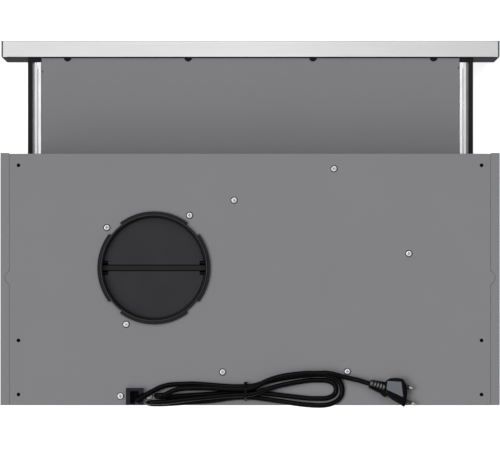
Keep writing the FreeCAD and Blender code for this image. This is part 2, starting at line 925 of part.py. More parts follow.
def impeller():
    plate = ring(0, 0, wheel_top - wheel_plate, wheel_top, wheel_radius, wheel_cup_radius)
    cup = ring(0, 0, wheel_cup_floor, wheel_top, wheel_cup_radius + wheel_plate, wheel_cup_radius)
    floor = disc(0, 0, wheel_cup_floor, wheel_cup_floor + wheel_plate,
                 wheel_cup_radius + wheel_plate / 2)
    hub = disc(0, 0, wheel_cup_floor - wheel_hub_height / 2,
               wheel_cup_floor + wheel_hub_height / 2, wheel_hub_radius)
    bottom = wheel_top - wheel_height
    band = ring(0, 0, bottom, bottom + wheel_plate, wheel_radius, wheel_radius - wheel_ring_width)
    parts = [plate, cup, floor, hub, band]
    for i in range(blade_count):
        copy = blade()
        copy.rotate(Vector(0, 0, 0), UP, 360.0 * i / blade_count)
        parts.append(copy)
    bore = disc(0, 0, bottom - wheel_height, wheel_top + overrun, shaft_radius + press_gap)
    wheel = fuse(parts).cut(bore)
    wheel.translate(Vector(blower_x, blower_y, 0))
    return wheel


# Capacitor and terminal box
def capacitor():
    x = capacitor_from_side - half_width
    y = rear_y - capacitor_from_rear
    bottom = plate_under - capacitor_height
    can = disc(x, y, bottom + capacitor_cap_height, plate_under, capacitor_radius)
    cap = disc(x, y, bottom, bottom + capacitor_cap_height,
               capacitor_radius - capacitor_cap_step)
    return fuse([can, cap])


def terminal_box():
    rear = rear_y - sheet - box_rear_gap
    front = rear - box_depth
    bottom = plate_under - box_height
    shell = box(gland_x - box_width / 2, gland_x + box_width / 2, front, rear, bottom, plate_under)
    room = box(gland_x - box_width / 2 + box_wall, gland_x + box_width / 2 - box_wall,
               front + box_wall, rear - box_wall, bottom + box_wall, plate_under + overrun)
    shell = shell.cut(room)
    posts = [disc(x, y, bottom, plate_under, box_boss_radius) for x, y in box_screw_places()]
    holes = [disc(x, y, plate_under - screw_length - seat_gap, plate_under + overrun,
                  screw_shank_radius + running_gap) for x, y in box_screw_places()]
    return fuse([shell] + posts).cut(holes)


# Cable gland, bend relief, cord, tie and plug
def along_relief(distance):
    x, y = polar(relief_x, relief_y, distance, relief_angle)
    return Vector(x, y, body_top + relief_height)


def relief_direction():
    return (along_relief(relief_length) - along_relief(0)).normalize()


def cable_gland():
    left = gland_x - gland_width / 2
    right = gland_x + gland_width / 2
    block = box(left, right, gland_front_y, gland_rear_y, body_top, body_top + gland_height)
    recess = box(left + gland_exit_wall, right - gland_side_wall, gland_front_y + gland_front_wall,
                 gland_rear_y - gland_rear_wall, body_top + gland_floor,
                 body_top + gland_height + overrun)
    notch = box(left + gland_exit_wall, right - gland_side_wall - gland_notch_inset,
                gland_rear_y - gland_rear_wall - overrun, gland_rear_y + overrun,
                body_top + gland_floor, body_top + gland_height + overrun)
    room = relief_root_radius + seat_gap
    slot = box(0, relief_length, -room, room, body_top + gland_floor,
               body_top + gland_height + overrun)
    slot.rotate(Vector(0, 0, 0), UP, relief_angle)
    slot.translate(Vector(relief_x, relief_y, 0))
    skirt = box(left + gland_skirt_inset, right - gland_skirt_inset,
                gland_front_y + gland_skirt_inset, gland_rear_y - gland_skirt_inset,
                body_top - gland_skirt_drop, body_top + gland_floor / 2)
    stub = disc(relief_x, relief_y, body_top - gland_skirt_drop - overrun,
                body_top + gland_height + overrun, relief_root_radius + running_gap)
    return fuse([block, skirt]).cut([recess, notch, slot, stub])


def bend_relief():
    cone = Part.makeCone(relief_root_radius, relief_tip_radius, relief_length,
                         along_relief(0), relief_direction())
    elbow = Part.makeSphere(relief_root_radius, along_relief(0))
    stub = disc(relief_x, relief_y, body_top - relief_stub_drop, body_top + relief_height,
                relief_stub_radius)
    grooves = []
    for i in range(relief_grooves):
        share = (i + 1) / (relief_grooves + 1)
        radius = relief_root_radius + share * (relief_tip_radius - relief_root_radius)
        place = along_relief(relief_length * share)
        outer = Part.makeCylinder(relief_root_radius + relief_groove_width, relief_groove_width,
                                  place, relief_direction())
        inner = Part.makeCylinder(radius - relief_groove_depth, relief_groove_width,
                                  place, relief_direction())
        grooves.append(outer.cut(inner))
    return fuse([cone, elbow, stub]).cut(grooves)


def on_plate(point):
    return Vector(point[0], point[1] + rear_y - route_rear_y, body_top + point[2])


def sweep(edges, name):
    wire = Part.Wire(edges)
    start = edges[0].valueAt(edges[0].FirstParameter)
    heading = edges[0].tangentAt(edges[0].FirstParameter)
    profile = Part.Wire([Part.makeCircle(cord_radius, start, heading)])
    solid = wire.makePipeShell([profile], True, False)
    section = math.pi * cord_radius ** 2
    print(name, "length", round(wire.Length, 1), "volume over section times length",
          round(solid.Volume / (section * wire.Length), 4))
    return solid


def rounded_run(points, name):
    edges = []
    here = points[0]
    for before, corner, after in zip(points, points[1:], points[2:]):
        back = (before - corner)
        ahead = (after - corner)
        half_turn = (math.pi - back.getAngle(ahead)) / 2
        trim = trim_share * min(back.Length, ahead.Length)
        radius = trim / math.tan(half_turn)
        start = corner + back.normalize() * trim
        end = corner + ahead.normalize() * trim
        towards = ((start + end) / 2 - corner).normalize()
        middle = corner + towards * (radius / math.cos(half_turn) - radius)
        edges.append(Part.LineSegment(here, start).toShape())
        edges.append(Part.Arc(start, middle, end).toShape())
        here = end
        print(name, "turn", round(math.degrees(2 * half_turn), 1), "radius", round(radius, 1))
    edges.append(Part.LineSegment(here, points[-1]).toShape())
    return sweep(edges, name)


def hank_strand_out(turn):
    lanes = (-1.0, 0.5, -0.5)
    layer = (0.0, 1.0, 1.0)[turn]
    lane_y = waist_y + lanes[turn] * strand_pitch
    top_y = waist_y - lobe_tops[turn]
    rise = layer * layer_rise
    end_rise = lobe_top_rises[turn]
    neck_rise = end_rise + neck_layer_share * (rise - end_rise)
    neck_y = lane_y + neck_out_shares[turn] * (top_y - lane_y)
    slope_y = neck_slope_share * (top_y - lane_y) / lobe_runs[turn]
    slope_z = neck_fall_share * (end_rise - rise) / lobe_runs[turn]
    return [
        ((waist_x, lane_y, cord_rest + waist_lift + rise), (-1, 0, 0)),
        ((waist_x - neck_run, neck_y, cord_rest + neck_rise), (-1, slope_y, slope_z)),
        ((waist_x - lobe_runs[turn], top_y, cord_rest + end_rise), (-1, 0, 0)),
    ]


def hank_strand_back(turn):
    lane_y = waist_y + (1 - turn) * strand_pitch
    low_y = waist_y + lobe_lows[turn]
    end_y = waist_y - reach_rises[turn]
    neck_y = lane_y + neck_back_share * (low_y - lane_y)
    slope_y = neck_back_slope_share * (lane_y - low_y) / lobe_runs[turn]
    return [
        ((waist_x - reaches[turn], end_y, cord_rest), (0, 1, 0)),
        ((waist_x - lobe_runs[turn], low_y, cord_rest), (1, 0, 0)),
        ((waist_x - neck_run, neck_y, cord_rest), (1, slope_y, 0)),
        ((waist_x, lane_y, cord_rest + waist_lift), (1, 0, 0)),
        ((waist_x + left_run, waist_y + fold_offset - turn * fold_offset_step - left_back_drop,
          cord_rest), (1, left_slope_share, 0)),
    ]


def hank_fold(turn):
    x = waist_x + fold_run - turn * fold_run_step
    y = waist_y + fold_offset - turn * fold_offset_step
    rise = math.sqrt(fold_radius ** 2 - fold_tilt ** 2)
    return [
        ((x, y + fold_tilt, cord_rest), (1, 0, 0)),
        ((x + fold_radius, y, cord_rest + rise), (0, -fold_tilt, rise)),
        ((x, y - fold_tilt, cord_rest + 2 * rise), (-1, 0, 0)),
    ]


# Each returning strand comes down from its fold to the upper layer of the waist
return_stations = (
    (((60.0, 212.2, 11.7), (-1, -0.10, -0.06)),),
    (((90.0, 202.2, 14.2), (-1, -0.26, -0.08)), ((60.0, 198.9, 11.6), (-1, -0.02, -0.04))),
)


def hank_stations():
    start = Vector(*lead_points[-1])
    heading = (start - Vector(*lead_points[-2])).normalize()
    after = start + heading * (2 * cord_radius)
    stations = [(tuple(start), tuple(heading)), (tuple(after), tuple(heading))]
    for turn in range(hank_rounds):
        stations += hank_strand_out(turn)
        stations += hank_strand_back(turn)
        stations += hank_fold(turn)
        stations += return_stations[turn]
    stations += hank_strand_out(hank_rounds)
    end = Vector(*tail_points[0])
    heading = (Vector(*tail_points[1]) - end).normalize()
    before = end - heading * (2 * cord_radius)
    stations.append((tuple(before), tuple(heading)))
    stations.append((tuple(end), tuple(heading)))
    return [(on_plate(place), Vector(*heading).normalize()) for place, heading in stations]


def biarc_legs(p, t, q, u):
    chord = q - p
    both = t + u
    spread = 2.0 * (1.0 - t.dot(u))
    along = chord.dot(both)
    if spread < 1e-9:
        reach_out = chord.dot(chord) / (2.0 * along)
    else:
        reach_out = (math.sqrt(along ** 2 + spread * chord.dot(chord)) - along) / spread
    first = p + t * reach_out
    last = q - u * reach_out
    joint = (first + last) / 2
    return (p, first, joint), (joint, last, q)


def arc_through(p, corner, q):
    centre = (p + q) / 2
    height = (corner - centre).Length
    half = (q - p).Length / 2
    if height < half * 1e-4:
        return Part.LineSegment(p, q).toShape()
    bulge = half * math.tan(math.atan(height / half) / 2)
    middle = centre + (corner - centre).normalize() * bulge
    return Part.Arc(p, middle, q).toShape()


def least_gap(edges):
    points = []
    places = []
    travelled = 0.0
    for edge in edges:
        count = max(2, int(edge.Length / (cord_radius / 2)))
        step = (edge.LastParameter - edge.FirstParameter) / count
        for i in range(count):
            points.append(edge.valueAt(edge.FirstParameter + i * step))
            places.append(travelled + edge.Length * i / count)
        travelled += edge.Length
    least = travelled
    for i, point in enumerate(points):
        for j in range(i + 1, len(points)):
            if places[j] - places[i] > 5 * cord_radius:
                least = min(least, (points[j] - point).Length)
    return least - 2 * cord_radius


def cord_hank():
    stations = hank_stations()
    edges = []
    for (p, t), (q, u) in zip(stations, stations[1:]):
        for leg in biarc_legs(p, t, q, u):
            edges.append(arc_through(*leg))
    print("cord_hank least gap to itself", round(least_gap(edges), 2))
    return sweep(edges, "cord_hank")


def cord_lead():
    return rounded_run([on_plate(point) for point in lead_points], "cord_lead")


def cord_tail():
    return rounded_run([on_plate(point) for point in tail_points], "cord_tail")


def cable_tie():
    middle = on_plate((waist_x, waist_y, cord_rest + waist_lift))
    corners = [middle + Vector(-tie_width / 2, lane * strand_pitch, layer * layer_rise)
               for lane, layer in ((-1, 0), (1, 0), (0.5, 1), (-0.5, 1))]
    core = Part.Face(Part.makePolygon(corners + corners[:1]))
    inner = core.makeOffset2D(cord_radius + tie_gap, 0, False, False)
    outer = core.makeOffset2D(cord_radius + tie_gap + tie_thickness, 0, False, False)
    band = outer.extrude(Vector(tie_width, 0, 0)).cut(inner.extrude(Vector(tie_width, 0, 0)))
    side_y = middle.y - strand_pitch - cord_radius - tie_gap
    head = box(waist_x - tie_head / 2, waist_x + tie_head / 2,
               side_y - tie_thickness / 2 - tie_head_height, side_y - tie_thickness / 2,
               middle.z - tie_head / 2, middle.z + tie_head / 2)
    return fuse([band, head])


def set_plug(shape):
    shape.rotate(Vector(0, 0, 0), UP, plug_angle)
    shape.translate(on_plate(tail_points[-1]))
    return shape


def relief_ring(share, shrink):
    width = plug_relief_radius + share * (plug_relief_end_width - plug_relief_radius) - shrink
    height = plug_relief_radius + share * (plug_relief_end_height - plug_relief_radius) - shrink
    centre = Vector(plug_relief_length * share, 0, 0)
    curve = Part.Ellipse(centre + Vector(0, width, 0), centre + Vector(0, 0, height), centre)
    return Part.Wire([curve.toShape()])


def plug_body():
    low = seat_gap - tail_points[-1][2]
    corners = [(plug_length * u, plug_length * v) for u, v in plug_outline_shares]
    slab = prism_z(corners, low, low + plug_thickness)
    edges = [edge for edge in slab.Edges
             if abs(edge.tangentAt(edge.FirstParameter).z) < 0.5]
    slab = slab.makeFillet(plug_edge_round, edges)
    relief = Part.makeLoft([relief_ring(0.0, 0), relief_ring(1.0, 0)], True)
    for i in range(plug_ribs):
        share = (i + 1) / (plug_ribs + 1)
        x = plug_relief_length * share
        width = plug_relief_radius + share * (plug_relief_end_width - plug_relief_radius)
        reach = width * plug_rib_reach_share
        band = box(x, x + plug_rib_gap, -reach, reach, -plug_length, plug_length)
        core = Part.Face(relief_ring(share, plug_rib_depth)).extrude(Vector(plug_rib_gap, 0, 0))
        relief = relief.cut(band.cut(core))
    body = fuse([slab, relief])
    holes = []
    for place, x in plug_pin_places():
        holes.append(rod_x(x - pin_in - pin_out, x + overrun, place, 0,
                           pin_sleeve_radius + press_gap))
    return set_plug(body.cut(holes))


def plug_pin_places():
    tips = (plug_length * pin_tip_share, plug_length * pin_tip_share + pin_stagger)
    places = (pin_offset + pin_spacing / 2, pin_offset - pin_spacing / 2)
    return list(zip(places, tips))


def plug_pins():
    pins = []
    for place, tip in plug_pin_places():
        sleeve = rod_x(tip - pin_in - pin_out, tip - pin_out + pin_sleeve_out, place, 0,
                       pin_sleeve_radius)
        metal = rod_x(tip - pin_in, tip - pin_radius, place, 0, pin_radius)
        nose = Part.makeSphere(pin_radius, Vector(tip - pin_radius, place, 0))
        pins.append(fuse([sleeve, metal, nose]))
    return set_plug(Part.makeCompound(pins))


# Drawer: strip, caps, carrier, tray, slides
def front_strip():
    half = strip_half_width - cap_thickness
    top = box(-half, half, front_y, strip_rear_y, strip_height - strip_sheet, strip_height)
    face = box(-half, half, front_y, front_y + strip_sheet, strip_bottom, strip_height)
    bottom = box(-half, half, front_y, front_y + strip_bottom_depth, strip_bottom,
                 strip_bottom + strip_sheet)
    return fuse([top, face, bottom])


def end_caps():
    inner = strip_half_width - cap_thickness
    cap = box(inner, strip_half_width, front_y, strip_rear_y, strip_bottom, strip_height)
    low = strip_bottom + strip_sheet + strip_slack
    high = strip_height - strip_sheet - strip_slack
    near = front_y + strip_sheet + strip_slack
    tongue = box(inner - cap_tongue, inner, near, near + cap_tongue_wall, low, high)
    cap = fuse([cap, tongue])
    return Part.makeCompound([cap, mirrored(cap)])


def strip_carrier():
    near = front_y + strip_sheet + strip_slack
    low = strip_bottom + strip_sheet + strip_slack
    ledge_top = tray_under
    half = strip_half_width - cap_thickness - cap_tongue - strip_slack
    shelf = box(-half, half, near, strip_rear_y, ledge_top - carrier_wall, ledge_top)
    face = box(-half, half, near, near + carrier_wall, low, strip_height - strip_sheet - strip_slack)
    floor = box(-half, half, near, strip_rear_y, low, low + carrier_wall)
    outer = strip_half_width - strip_slack
    inner = outer - carrier_ledge
    mitre = [(-outer, strip_rear_y + strip_slack), (outer, strip_rear_y + strip_slack),
             (inner, carrier_rear_y), (-inner, carrier_rear_y)]
    ledge = prism_z(mitre, ledge_top - carrier_wall, ledge_top)
    wall = box(-inner, inner, strip_rear_y - carrier_wall, strip_rear_y + strip_slack, low, ledge_top)
    skirt = box(-inner, inner, carrier_rear_y - carrier_lip_width, carrier_rear_y,
                low, ledge_top + carrier_lip_rise)
    under = box(-inner, inner, strip_rear_y - strip_slack, carrier_rear_y, low, low + carrier_wall)
    body = fuse([shelf, face, floor, ledge, wall, skirt, under])
    gap_half = runner_outer_x + strip_slack
    seat = box(-gap_half, gap_half, tray_front_y - strip_slack, carrier_rear_y + overrun,
               tray_under, tray_top)
    room = box(-gap_half, gap_half, strip_rear_y + strip_slack, carrier_rear_y + overrun,
               ledge_top, tray_top)
    holes = [disc(x, tray_screw_y, ledge_top - overrun, tray_top,
                  screw_shank_radius + running_gap) for x in tray_screw_places()]
    return body.cut([seat, room] + holes)


def tray_screw_places():
    return [side * share * tray_half_width for side in (-1, 1) for share in tray_screw_shares]


def tray():
    plate = box(-tray_half_width, tray_half_width, tray_front_y, tray_rear_y, tray_under, tray_top)
    parts = [plate]
    skirt_front = carrier_rear_y + strip_slack
    for side in (-1, 1):
        edges = sorted((side * tray_half_width, side * (tray_half_width - sheet)))
        parts.append(box(edges[0], edges[1], skirt_front, tray_rear_y, slide_bottom + slide_sheet,
                         tray_under + sheet / 2))
    parts.append(box(-tray_half_width, tray_half_width, tray_rear_y - sheet, tray_rear_y,
                     slide_bottom + slide_sheet, tray_under + sheet / 2))
    holes = [disc(x, tray_screw_y, tray_under - overrun, tray_top + overrun,
                  screw_shank_radius + running_gap) for x in tray_screw_places()]
    return fuse(parts).cut(holes)


def tray_screws():
    screws = []
    for x in tray_screw_places():
        head = disc(x, tray_screw_y, tray_top, tray_top + tray_screw_height, tray_screw_radius)
        rim = [edge for edge in head.Edges if edge.BoundBox.ZMin > tray_top + tray_screw_height / 2]
        head = head.makeFillet(screw_edge_round, rim[:1])
        shank = disc(x, tray_screw_y, tray_under - carrier_wall,
                     tray_top + tray_screw_height / 2, screw_shank_radius)
        screws.append(fuse([head, shank]))
    return Part.makeCompound(screws)


def slide():
    x0 = slide_inner_x
    x1 = slide_outer_x
    section = [(x0, slide_bottom), (x0 - slide_foot_reach, slide_bottom),
               (x0 - slide_foot_reach, slide_bottom + slide_sheet),
               (x0, slide_bottom + slide_sheet), (x0, slide_top), (x1, slide_top),
               (x1, slide_bottom), (x1 - slide_sheet, slide_bottom),
               (x1 - slide_sheet, slide_top - slide_sheet),
               (x0 + slide_sheet, slide_top - slide_sheet), (x0 + slide_sheet, slide_bottom)]
    front = carrier_rear_y + strip_slack
    body = prism_y(section, front, slide_rear_y)
    groove_x = (x0 + x1) / 2
    groove = box(groove_x - slide_groove_width / 2, groove_x + slide_groove_width / 2,
                 front + slide_width, slide_rear_y + overrun, slide_top - slide_groove_depth,
                 slide_top + overrun)
    pad = box(x1 - slide_corner, x1, front, front + slide_corner, slide_bottom, slide_top)
    round_end = disc(x1 - slide_corner, front + slide_corner, slide_bottom, slide_top, slide_corner)
    return body.cut([groove, pad.cut(round_end)])


def runner():
    lip_top = tray_top - runner_lip_drop
    section = [(slide_outer_x, runner_bottom), (runner_outer_x, runner_bottom),
               (runner_outer_x, tray_top), (runner_lip_x, tray_top), (runner_lip_x, lip_top),
               (slide_outer_x, lip_top)]
    return prism_y(section, runner_front_y, slide_rear_y)


def slide_brackets():
    plate = box(slide_inner_x - bracket_gap, runner_outer_x, strip_rear_y + strip_slack,
                carrier_rear_y, tray_under, tray_top)
    tongue = box(slide_inner_x + slide_sheet + strip_slack, slide_outer_x - slide_sheet - strip_slack,
                 strip_rear_y + strip_slack, carrier_rear_y + bracket_tongue, tray_under, tray_top)
    bracket = fuse([plate, tongue])
    return Part.makeCompound([bracket, mirrored(bracket)])


def rail():
    inner = runner_outer_x + runner_clearance
    outer = inner + rail_sheet
    lip = runner_lip_x + rail_sheet
    low = runner_bottom - runner_clearance
    high = tray_top + runner_clearance
    foot = base_plate_top
    section = [(lip, low), (inner, low), (inner, high), (lip, high), (lip, high + rail_sheet),
               (outer, high + rail_sheet), (outer, foot + rail_sheet),
               (outer + rail_foot, foot + rail_sheet), (outer + rail_foot, foot), (inner, foot),
               (inner, low - rail_sheet), (lip, low - rail_sheet)]
    return prism_y(section, rail_front_y, rail_rear_y)


# Grease filters and latches
def latch_pocket():
    x = latch_centre()
    half = latch_width / 2 + latch_play
    near = filter_front_y + latch_wall
    far = near + latch_length + latch_travel + 2 * latch_play
    bottom = filter_bottom - overrun
    return box(x - half, x + half, near, far, bottom, filter_bottom + sheet + latch_height + latch_play)


def filter_frame():
    inner, outer = filter_span()
    body = box(inner, outer, filter_front_y, filter_rear_y, filter_bottom, base_plate_under)
    room = box(inner + filter_border, outer - filter_border, filter_front_y + filter_border,
               filter_rear_y - filter_border, filter_bottom - overrun, base_plate_under + overrun)
    x = latch_centre()
    block = box(x - latch_block_width / 2, x + latch_block_width / 2, filter_front_y,
                filter_front_y + latch_block_depth, filter_bottom, base_plate_under)
    tongue_z = filter_bottom + sheet + latch_height / 2
    slot = box(x - tongue_width / 2 - latch_play, x + tongue_width / 2 + latch_play,
               filter_front_y - overrun, filter_front_y + latch_wall + overrun,
               tongue_z - latch_play, tongue_z + tongue_height + latch_play)
    frame = fuse([body.cut(room), block] + filter_hooks())
    return frame.cut([latch_pocket(), slot])


def filter_hooks():
    inner, outer = filter_span()
    plate_edge = filter_rear_y - filter_lip
    low = base_plate_under - sheet
    seat = base_plate_top + seat_gap
    hooks = []
    for x in (inner + hook_inset, outer - hook_inset):
        post = box(x - hook_width / 2, x + hook_width / 2, plate_edge - sheet - seat_gap,
                   plate_edge - seat_gap, low, seat + sheet)
        tip = box(x - hook_width / 2, x + hook_width / 2, plate_edge - sheet - seat_gap,
                  plate_edge + hook_reach, seat, seat + sheet)
        hooks += [post, tip]
    return hooks


def filter_latch():
    x = latch_centre()
    near = filter_front_y + latch_wall + latch_play
    low = filter_bottom + sheet
    body = box(x - latch_width / 2, x + latch_width / 2, near, near + latch_length,
               low, low + latch_height)
    finger = box(x - latch_width / 4, x + latch_width / 4, near + latch_length / 3,
                 near + latch_length * 2 / 3, low - sheet / 2, low + sheet / 2)
    tongue_z = low + latch_height / 2
    tongue = box(x - tongue_width / 2, x + tongue_width / 2, filter_front_y - tongue_reach,
                 near + sheet, tongue_z, tongue_z + tongue_height)
    return fuse([body, finger, tongue])


def filter_mesh():
    inner, outer = filter_span()
    x0 = inner + filter_border + strip_slack
    x1 = outer - filter_border - strip_slack
    y0 = filter_front_y + filter_border + strip_slack
    y1 = filter_rear_y - filter_border - strip_slack
    middle = (filter_bottom + base_plate_under) / 2
    low = middle - mesh_thickness / 2
    high = middle + mesh_thickness / 2
    sheet_solid = box(x0, x1, y0, y1, low, high)
    step_x = (x1 - x0 - mesh_web) / mesh_columns
    step_y = (y1 - y0 - mesh_web) / mesh_rows
    cuts = []
    for i in range(mesh_columns):
        for j in range(mesh_rows):
            left = x0 + mesh_web + i * step_x
            near = y0 + mesh_web + j * step_y
            if near < filter_front_y + latch_block_depth + mesh_web:
                continue
            cuts.append(box(left, left + step_x - mesh_web, near, near + step_y - mesh_web,
                            low - overrun, high + overrun))
    x = latch_centre()
    half = latch_block_width / 2 + strip_slack
    cuts.append(box(x - half, x + half, y0 - overrun,
                    filter_front_y + latch_block_depth + strip_slack, low - overrun, high + overrun))
    return sheet_solid.cut(cuts)


# Lamps and switches
def lamp_body():
    flange_low = base_plate_under - lamp_flange
    flange = disc(lamp_x, lamp_y, flange_low, base_plate_under, lamp_flange_radius)
    can = disc(lamp_x, lamp_y, flange_low, base_plate_under + lamp_height, lamp_radius)
    room = disc(lamp_x, lamp_y, flange_low - overrun, base_plate_under + lamp_height - lamp_wall,
                lens_radius - lens_seat)
    seat = disc(lamp_x, lamp_y, flange_low - overrun, flange_low + lens_thickness,
                lens_radius + running_gap)
    return fuse([flange, can]).cut([room, seat])


def lamp_lens():
    flange_low = base_plate_under - lamp_flange
    return disc(lamp_x, lamp_y, flange_low, flange_low + lens_thickness, lens_radius)


def switch_body(x, travel):
    half = (travel + knob_length) / 2 + switch_wall + stem_play
    shell = box(x - half, x + half, switch_y - switch_width / 2, switch_y + switch_width / 2,
                base_plate_top, base_plate_top + switch_height)
    room = box(x - half + switch_wall, x + half - switch_wall,
               switch_y - switch_width / 2 + switch_wall, switch_y + switch_width / 2 - switch_wall,
               base_plate_top - overrun, base_plate_top + switch_height - switch_wall)
    return shell.cut(room)


def slider_knob(x, travel):
    start = x - travel / 2
    top = base_plate_under - stem_play
    knob = box(start - knob_length / 2, start + knob_length / 2, switch_y - knob_width / 2,
               switch_y + knob_width / 2, top - knob_height, top)
    stem = box(start - stem_length / 2, start + stem_length / 2, switch_y - stem_width / 2,
               switch_y + stem_width / 2, top - sheet, base_plate_top + 2 * stem_play)
    carriage = box(start - knob_length / 2, start + knob_length / 2, switch_y - knob_width / 2,
                   switch_y + knob_width / 2, base_plate_top + stem_play,
                   base_plate_top + stem_play + carriage_height)
    ridges = []
    for i in (-1, 0, 1):
        rib_x = start + i * knob_length / 4
        ridges.append(box(rib_x - sheet / 2, rib_x + sheet / 2, switch_y - knob_width / 2,
                          switch_y + knob_width / 2, top - knob_height - sheet / 2, top - sheet))
    return fuse([knob, stem, carriage] + ridges)


def top_screws():
    places = collar_screw_places() + housing_screw_places()
    return Part.makeCompound([pan_screw(x, y, body_top, screw_head_radius) for x, y in places])


def box_screws():
    return Part.makeCompound([pan_screw(x, y, body_top, box_screw_head_radius)
                              for x, y in box_screw_places()])


# Every node and the shape it holds
def nodes():
    made = {
        "top_plate": top_plate(),
        "front_panel": front_panel(),
        "rear_panel": rear_panel(),
        "base_frame": base_frame(),
        "duct_collar": duct_collar(),
        "flap_pins": flap_pins(),
        "flap_front": flap(-1),
        "flap_rear": flap(1),
        "blower_housing_upper": blower_housing_upper(),
        "blower_housing_lower": blower_housing_lower(),
        "motor_bracket": motor_bracket(),
        "motor_cap_upper": motor_cap_upper(),
        "motor_cap_lower": motor_cap_lower(),
        "motor_bearings": motor_bearings(),
        "stator_core": stator_core(),
        "stator_windings": stator_windings(),
        "rotor_core": rotor_core(),
        "motor_shaft": motor_shaft(),
        "impeller": impeller(),
        "capacitor": capacitor(),
        "terminal_box": terminal_box(),
        "cable_gland": cable_gland(),
        "bend_relief": bend_relief(),
        "cord_lead": cord_lead(),
        "cord_hank": cord_hank(),
        "cord_tail": cord_tail(),
        "cable_tie": cable_tie(),
        "plug_body": plug_body(),
        "plug_pins": plug_pins(),
        "top_screws": top_screws(),
        "box_screws": box_screws(),
        "front_strip": front_strip(),
        "end_caps": end_caps(),
        "strip_carrier": strip_carrier(),
        "tray": tray(),
        "tray_screws": tray_screws(),
        "slide_brackets": slide_brackets(),
        "speed_switch": switch_body(speed_switch_x, speed_travel),
        "light_switch": switch_body(light_switch_x, light_travel),
        "speed_slider": slider_knob(speed_switch_x, speed_travel),
        "light_slider": slider_knob(light_switch_x, light_travel),
    }
    pairs = {
        "side_panel": side_panel(),
        "slide": slide(),
        "runner": runner(),
        "rail": rail(),
        "filter_frame": filter_frame(),
        "filter_latch": filter_latch(),
        "filter_mesh": filter_mesh(),
        "lamp_body": lamp_body(),
        "lamp_lens": lamp_lens(),
    }
    for name, shape in pairs.items():
        made[name + "_right"] = shape
        made[name + "_left"] = mirrored(shape)
    return made


os.makedirs("parts", exist_ok=True)
for name, shape in nodes().items():
    solids = shape.Solids
    whole = solids[0] if len(solids) == 1 else Part.makeCompound(solids)
    whole.exportStep(os.path.join("parts", name + ".step"))
    print(name, "solids", len(solids), "valid", whole.isValid(), "volume", round(whole.Volume))
print("drawer travel", round(drawer_travel, 2))
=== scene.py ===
import math

import bmesh
import bpy
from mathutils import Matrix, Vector


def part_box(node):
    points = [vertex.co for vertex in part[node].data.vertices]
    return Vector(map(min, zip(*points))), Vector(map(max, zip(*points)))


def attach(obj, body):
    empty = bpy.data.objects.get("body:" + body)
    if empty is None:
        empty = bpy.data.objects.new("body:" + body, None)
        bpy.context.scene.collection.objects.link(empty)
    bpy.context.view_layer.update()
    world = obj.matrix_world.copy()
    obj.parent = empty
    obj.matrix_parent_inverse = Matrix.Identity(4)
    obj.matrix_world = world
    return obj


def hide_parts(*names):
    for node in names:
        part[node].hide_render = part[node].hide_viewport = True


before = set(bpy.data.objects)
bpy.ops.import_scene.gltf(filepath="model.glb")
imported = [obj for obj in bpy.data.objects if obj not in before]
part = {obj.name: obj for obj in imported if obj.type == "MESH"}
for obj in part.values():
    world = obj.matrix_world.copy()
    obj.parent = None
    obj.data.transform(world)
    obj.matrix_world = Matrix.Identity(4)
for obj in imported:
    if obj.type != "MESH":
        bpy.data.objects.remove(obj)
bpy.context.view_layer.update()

# Casing: folded sheet steel, 1 mm thick, in grey powder coat baked on after bending.
# Top plate, two side panels, front and rear panels and the base frame are spot welded and
# screwed together along their folded flanges.


def linear(code):
    # An sRGB hex colour as the linear values that a socket takes
    shares = [int(code[i:i + 2], 16) / 255 for i in (0, 2, 4)]
    return tuple(s / 12.92 if s <= 0.04045 else ((s + 0.055) / 1.055) ** 2.4 for s in shares) + (1.0,)


def feed(tree, node, inputs):
    # Each input gets a link where it is given a socket, and otherwise a value
    for name, value in inputs.items():
        socket = node.inputs[name]
        if isinstance(value, bpy.types.NodeSocket):
            tree.links.new(value, socket)
        else:
            socket.default_value = value


def add(tree, kind, inputs=None, **settings):
    # A new node with its settings, its values and its links. A colour Mix node's inputs go by
    # number: 0 is the share, 6 and 7 are the two colours.
    node = tree.nodes.new(kind)
    for name, value in settings.items():
        setattr(node, name, value)
    feed(tree, node, inputs or {})
    return node


def finish_of(name):
    # A new material, its tree, its shader, and the place on the piece that patterns follow
    material = bpy.data.materials.new(name)
    material.use_nodes = True
    tree = material.node_tree
    surface = tree.nodes["Principled BSDF"]
    place = add(tree, "ShaderNodeTexCoord").outputs["Object"]
    return material, tree, surface, place


def wear(material, *pieces):
    for piece in pieces:
        piece.data.materials.clear()
        piece.data.materials.append(material)


def powder_coat(name, dark, light):
    # Powder coat: polyester baked on steel, even and satin. An orange peel of about 1.5 mm
    # breaks the light up a little, and the spraying leaves faint clouds, about 14 to the metre.
    material, tree, surface, place = finish_of(name)
    cloud = add(tree, "ShaderNodeTexNoise", {"Vector": place, "Scale": 14.0, "Detail": 3.0}).outputs["Fac"]
    peel = add(tree, "ShaderNodeTexNoise", {"Vector": place, "Scale": 1 / 0.0015, "Detail": 2.0})
    edge = add(tree, "ShaderNodeBevel", {"Radius": 0.0006}, samples=4)
    bump = add(tree, "ShaderNodeBump", {"Height": peel.outputs["Fac"], "Strength": 0.12,
                                        "Distance": 0.00004, "Normal": edge.outputs["Normal"]})
    tone = add(tree, "ShaderNodeMix", {0: cloud, 6: linear(dark), 7: linear(light)}, data_type="RGBA")
    satin = add(tree, "ShaderNodeMapRange", {"Value": cloud, "To Min": 0.42, "To Max": 0.5})
    feed(tree, surface, {"Base Color": tone.outputs[2], "Roughness": satin.outputs["Result"],
                         "Normal": bump.outputs["Normal"], "Specular IOR Level": 0.25})
    return material


casing_coat = powder_coat("powder_coated_steel", "808083", "848487")
wear(casing_coat, part["top_plate"], part["side_panel_left"], part["side_panel_right"],
     part["front_panel"], part["rear_panel"], part["base_frame"])

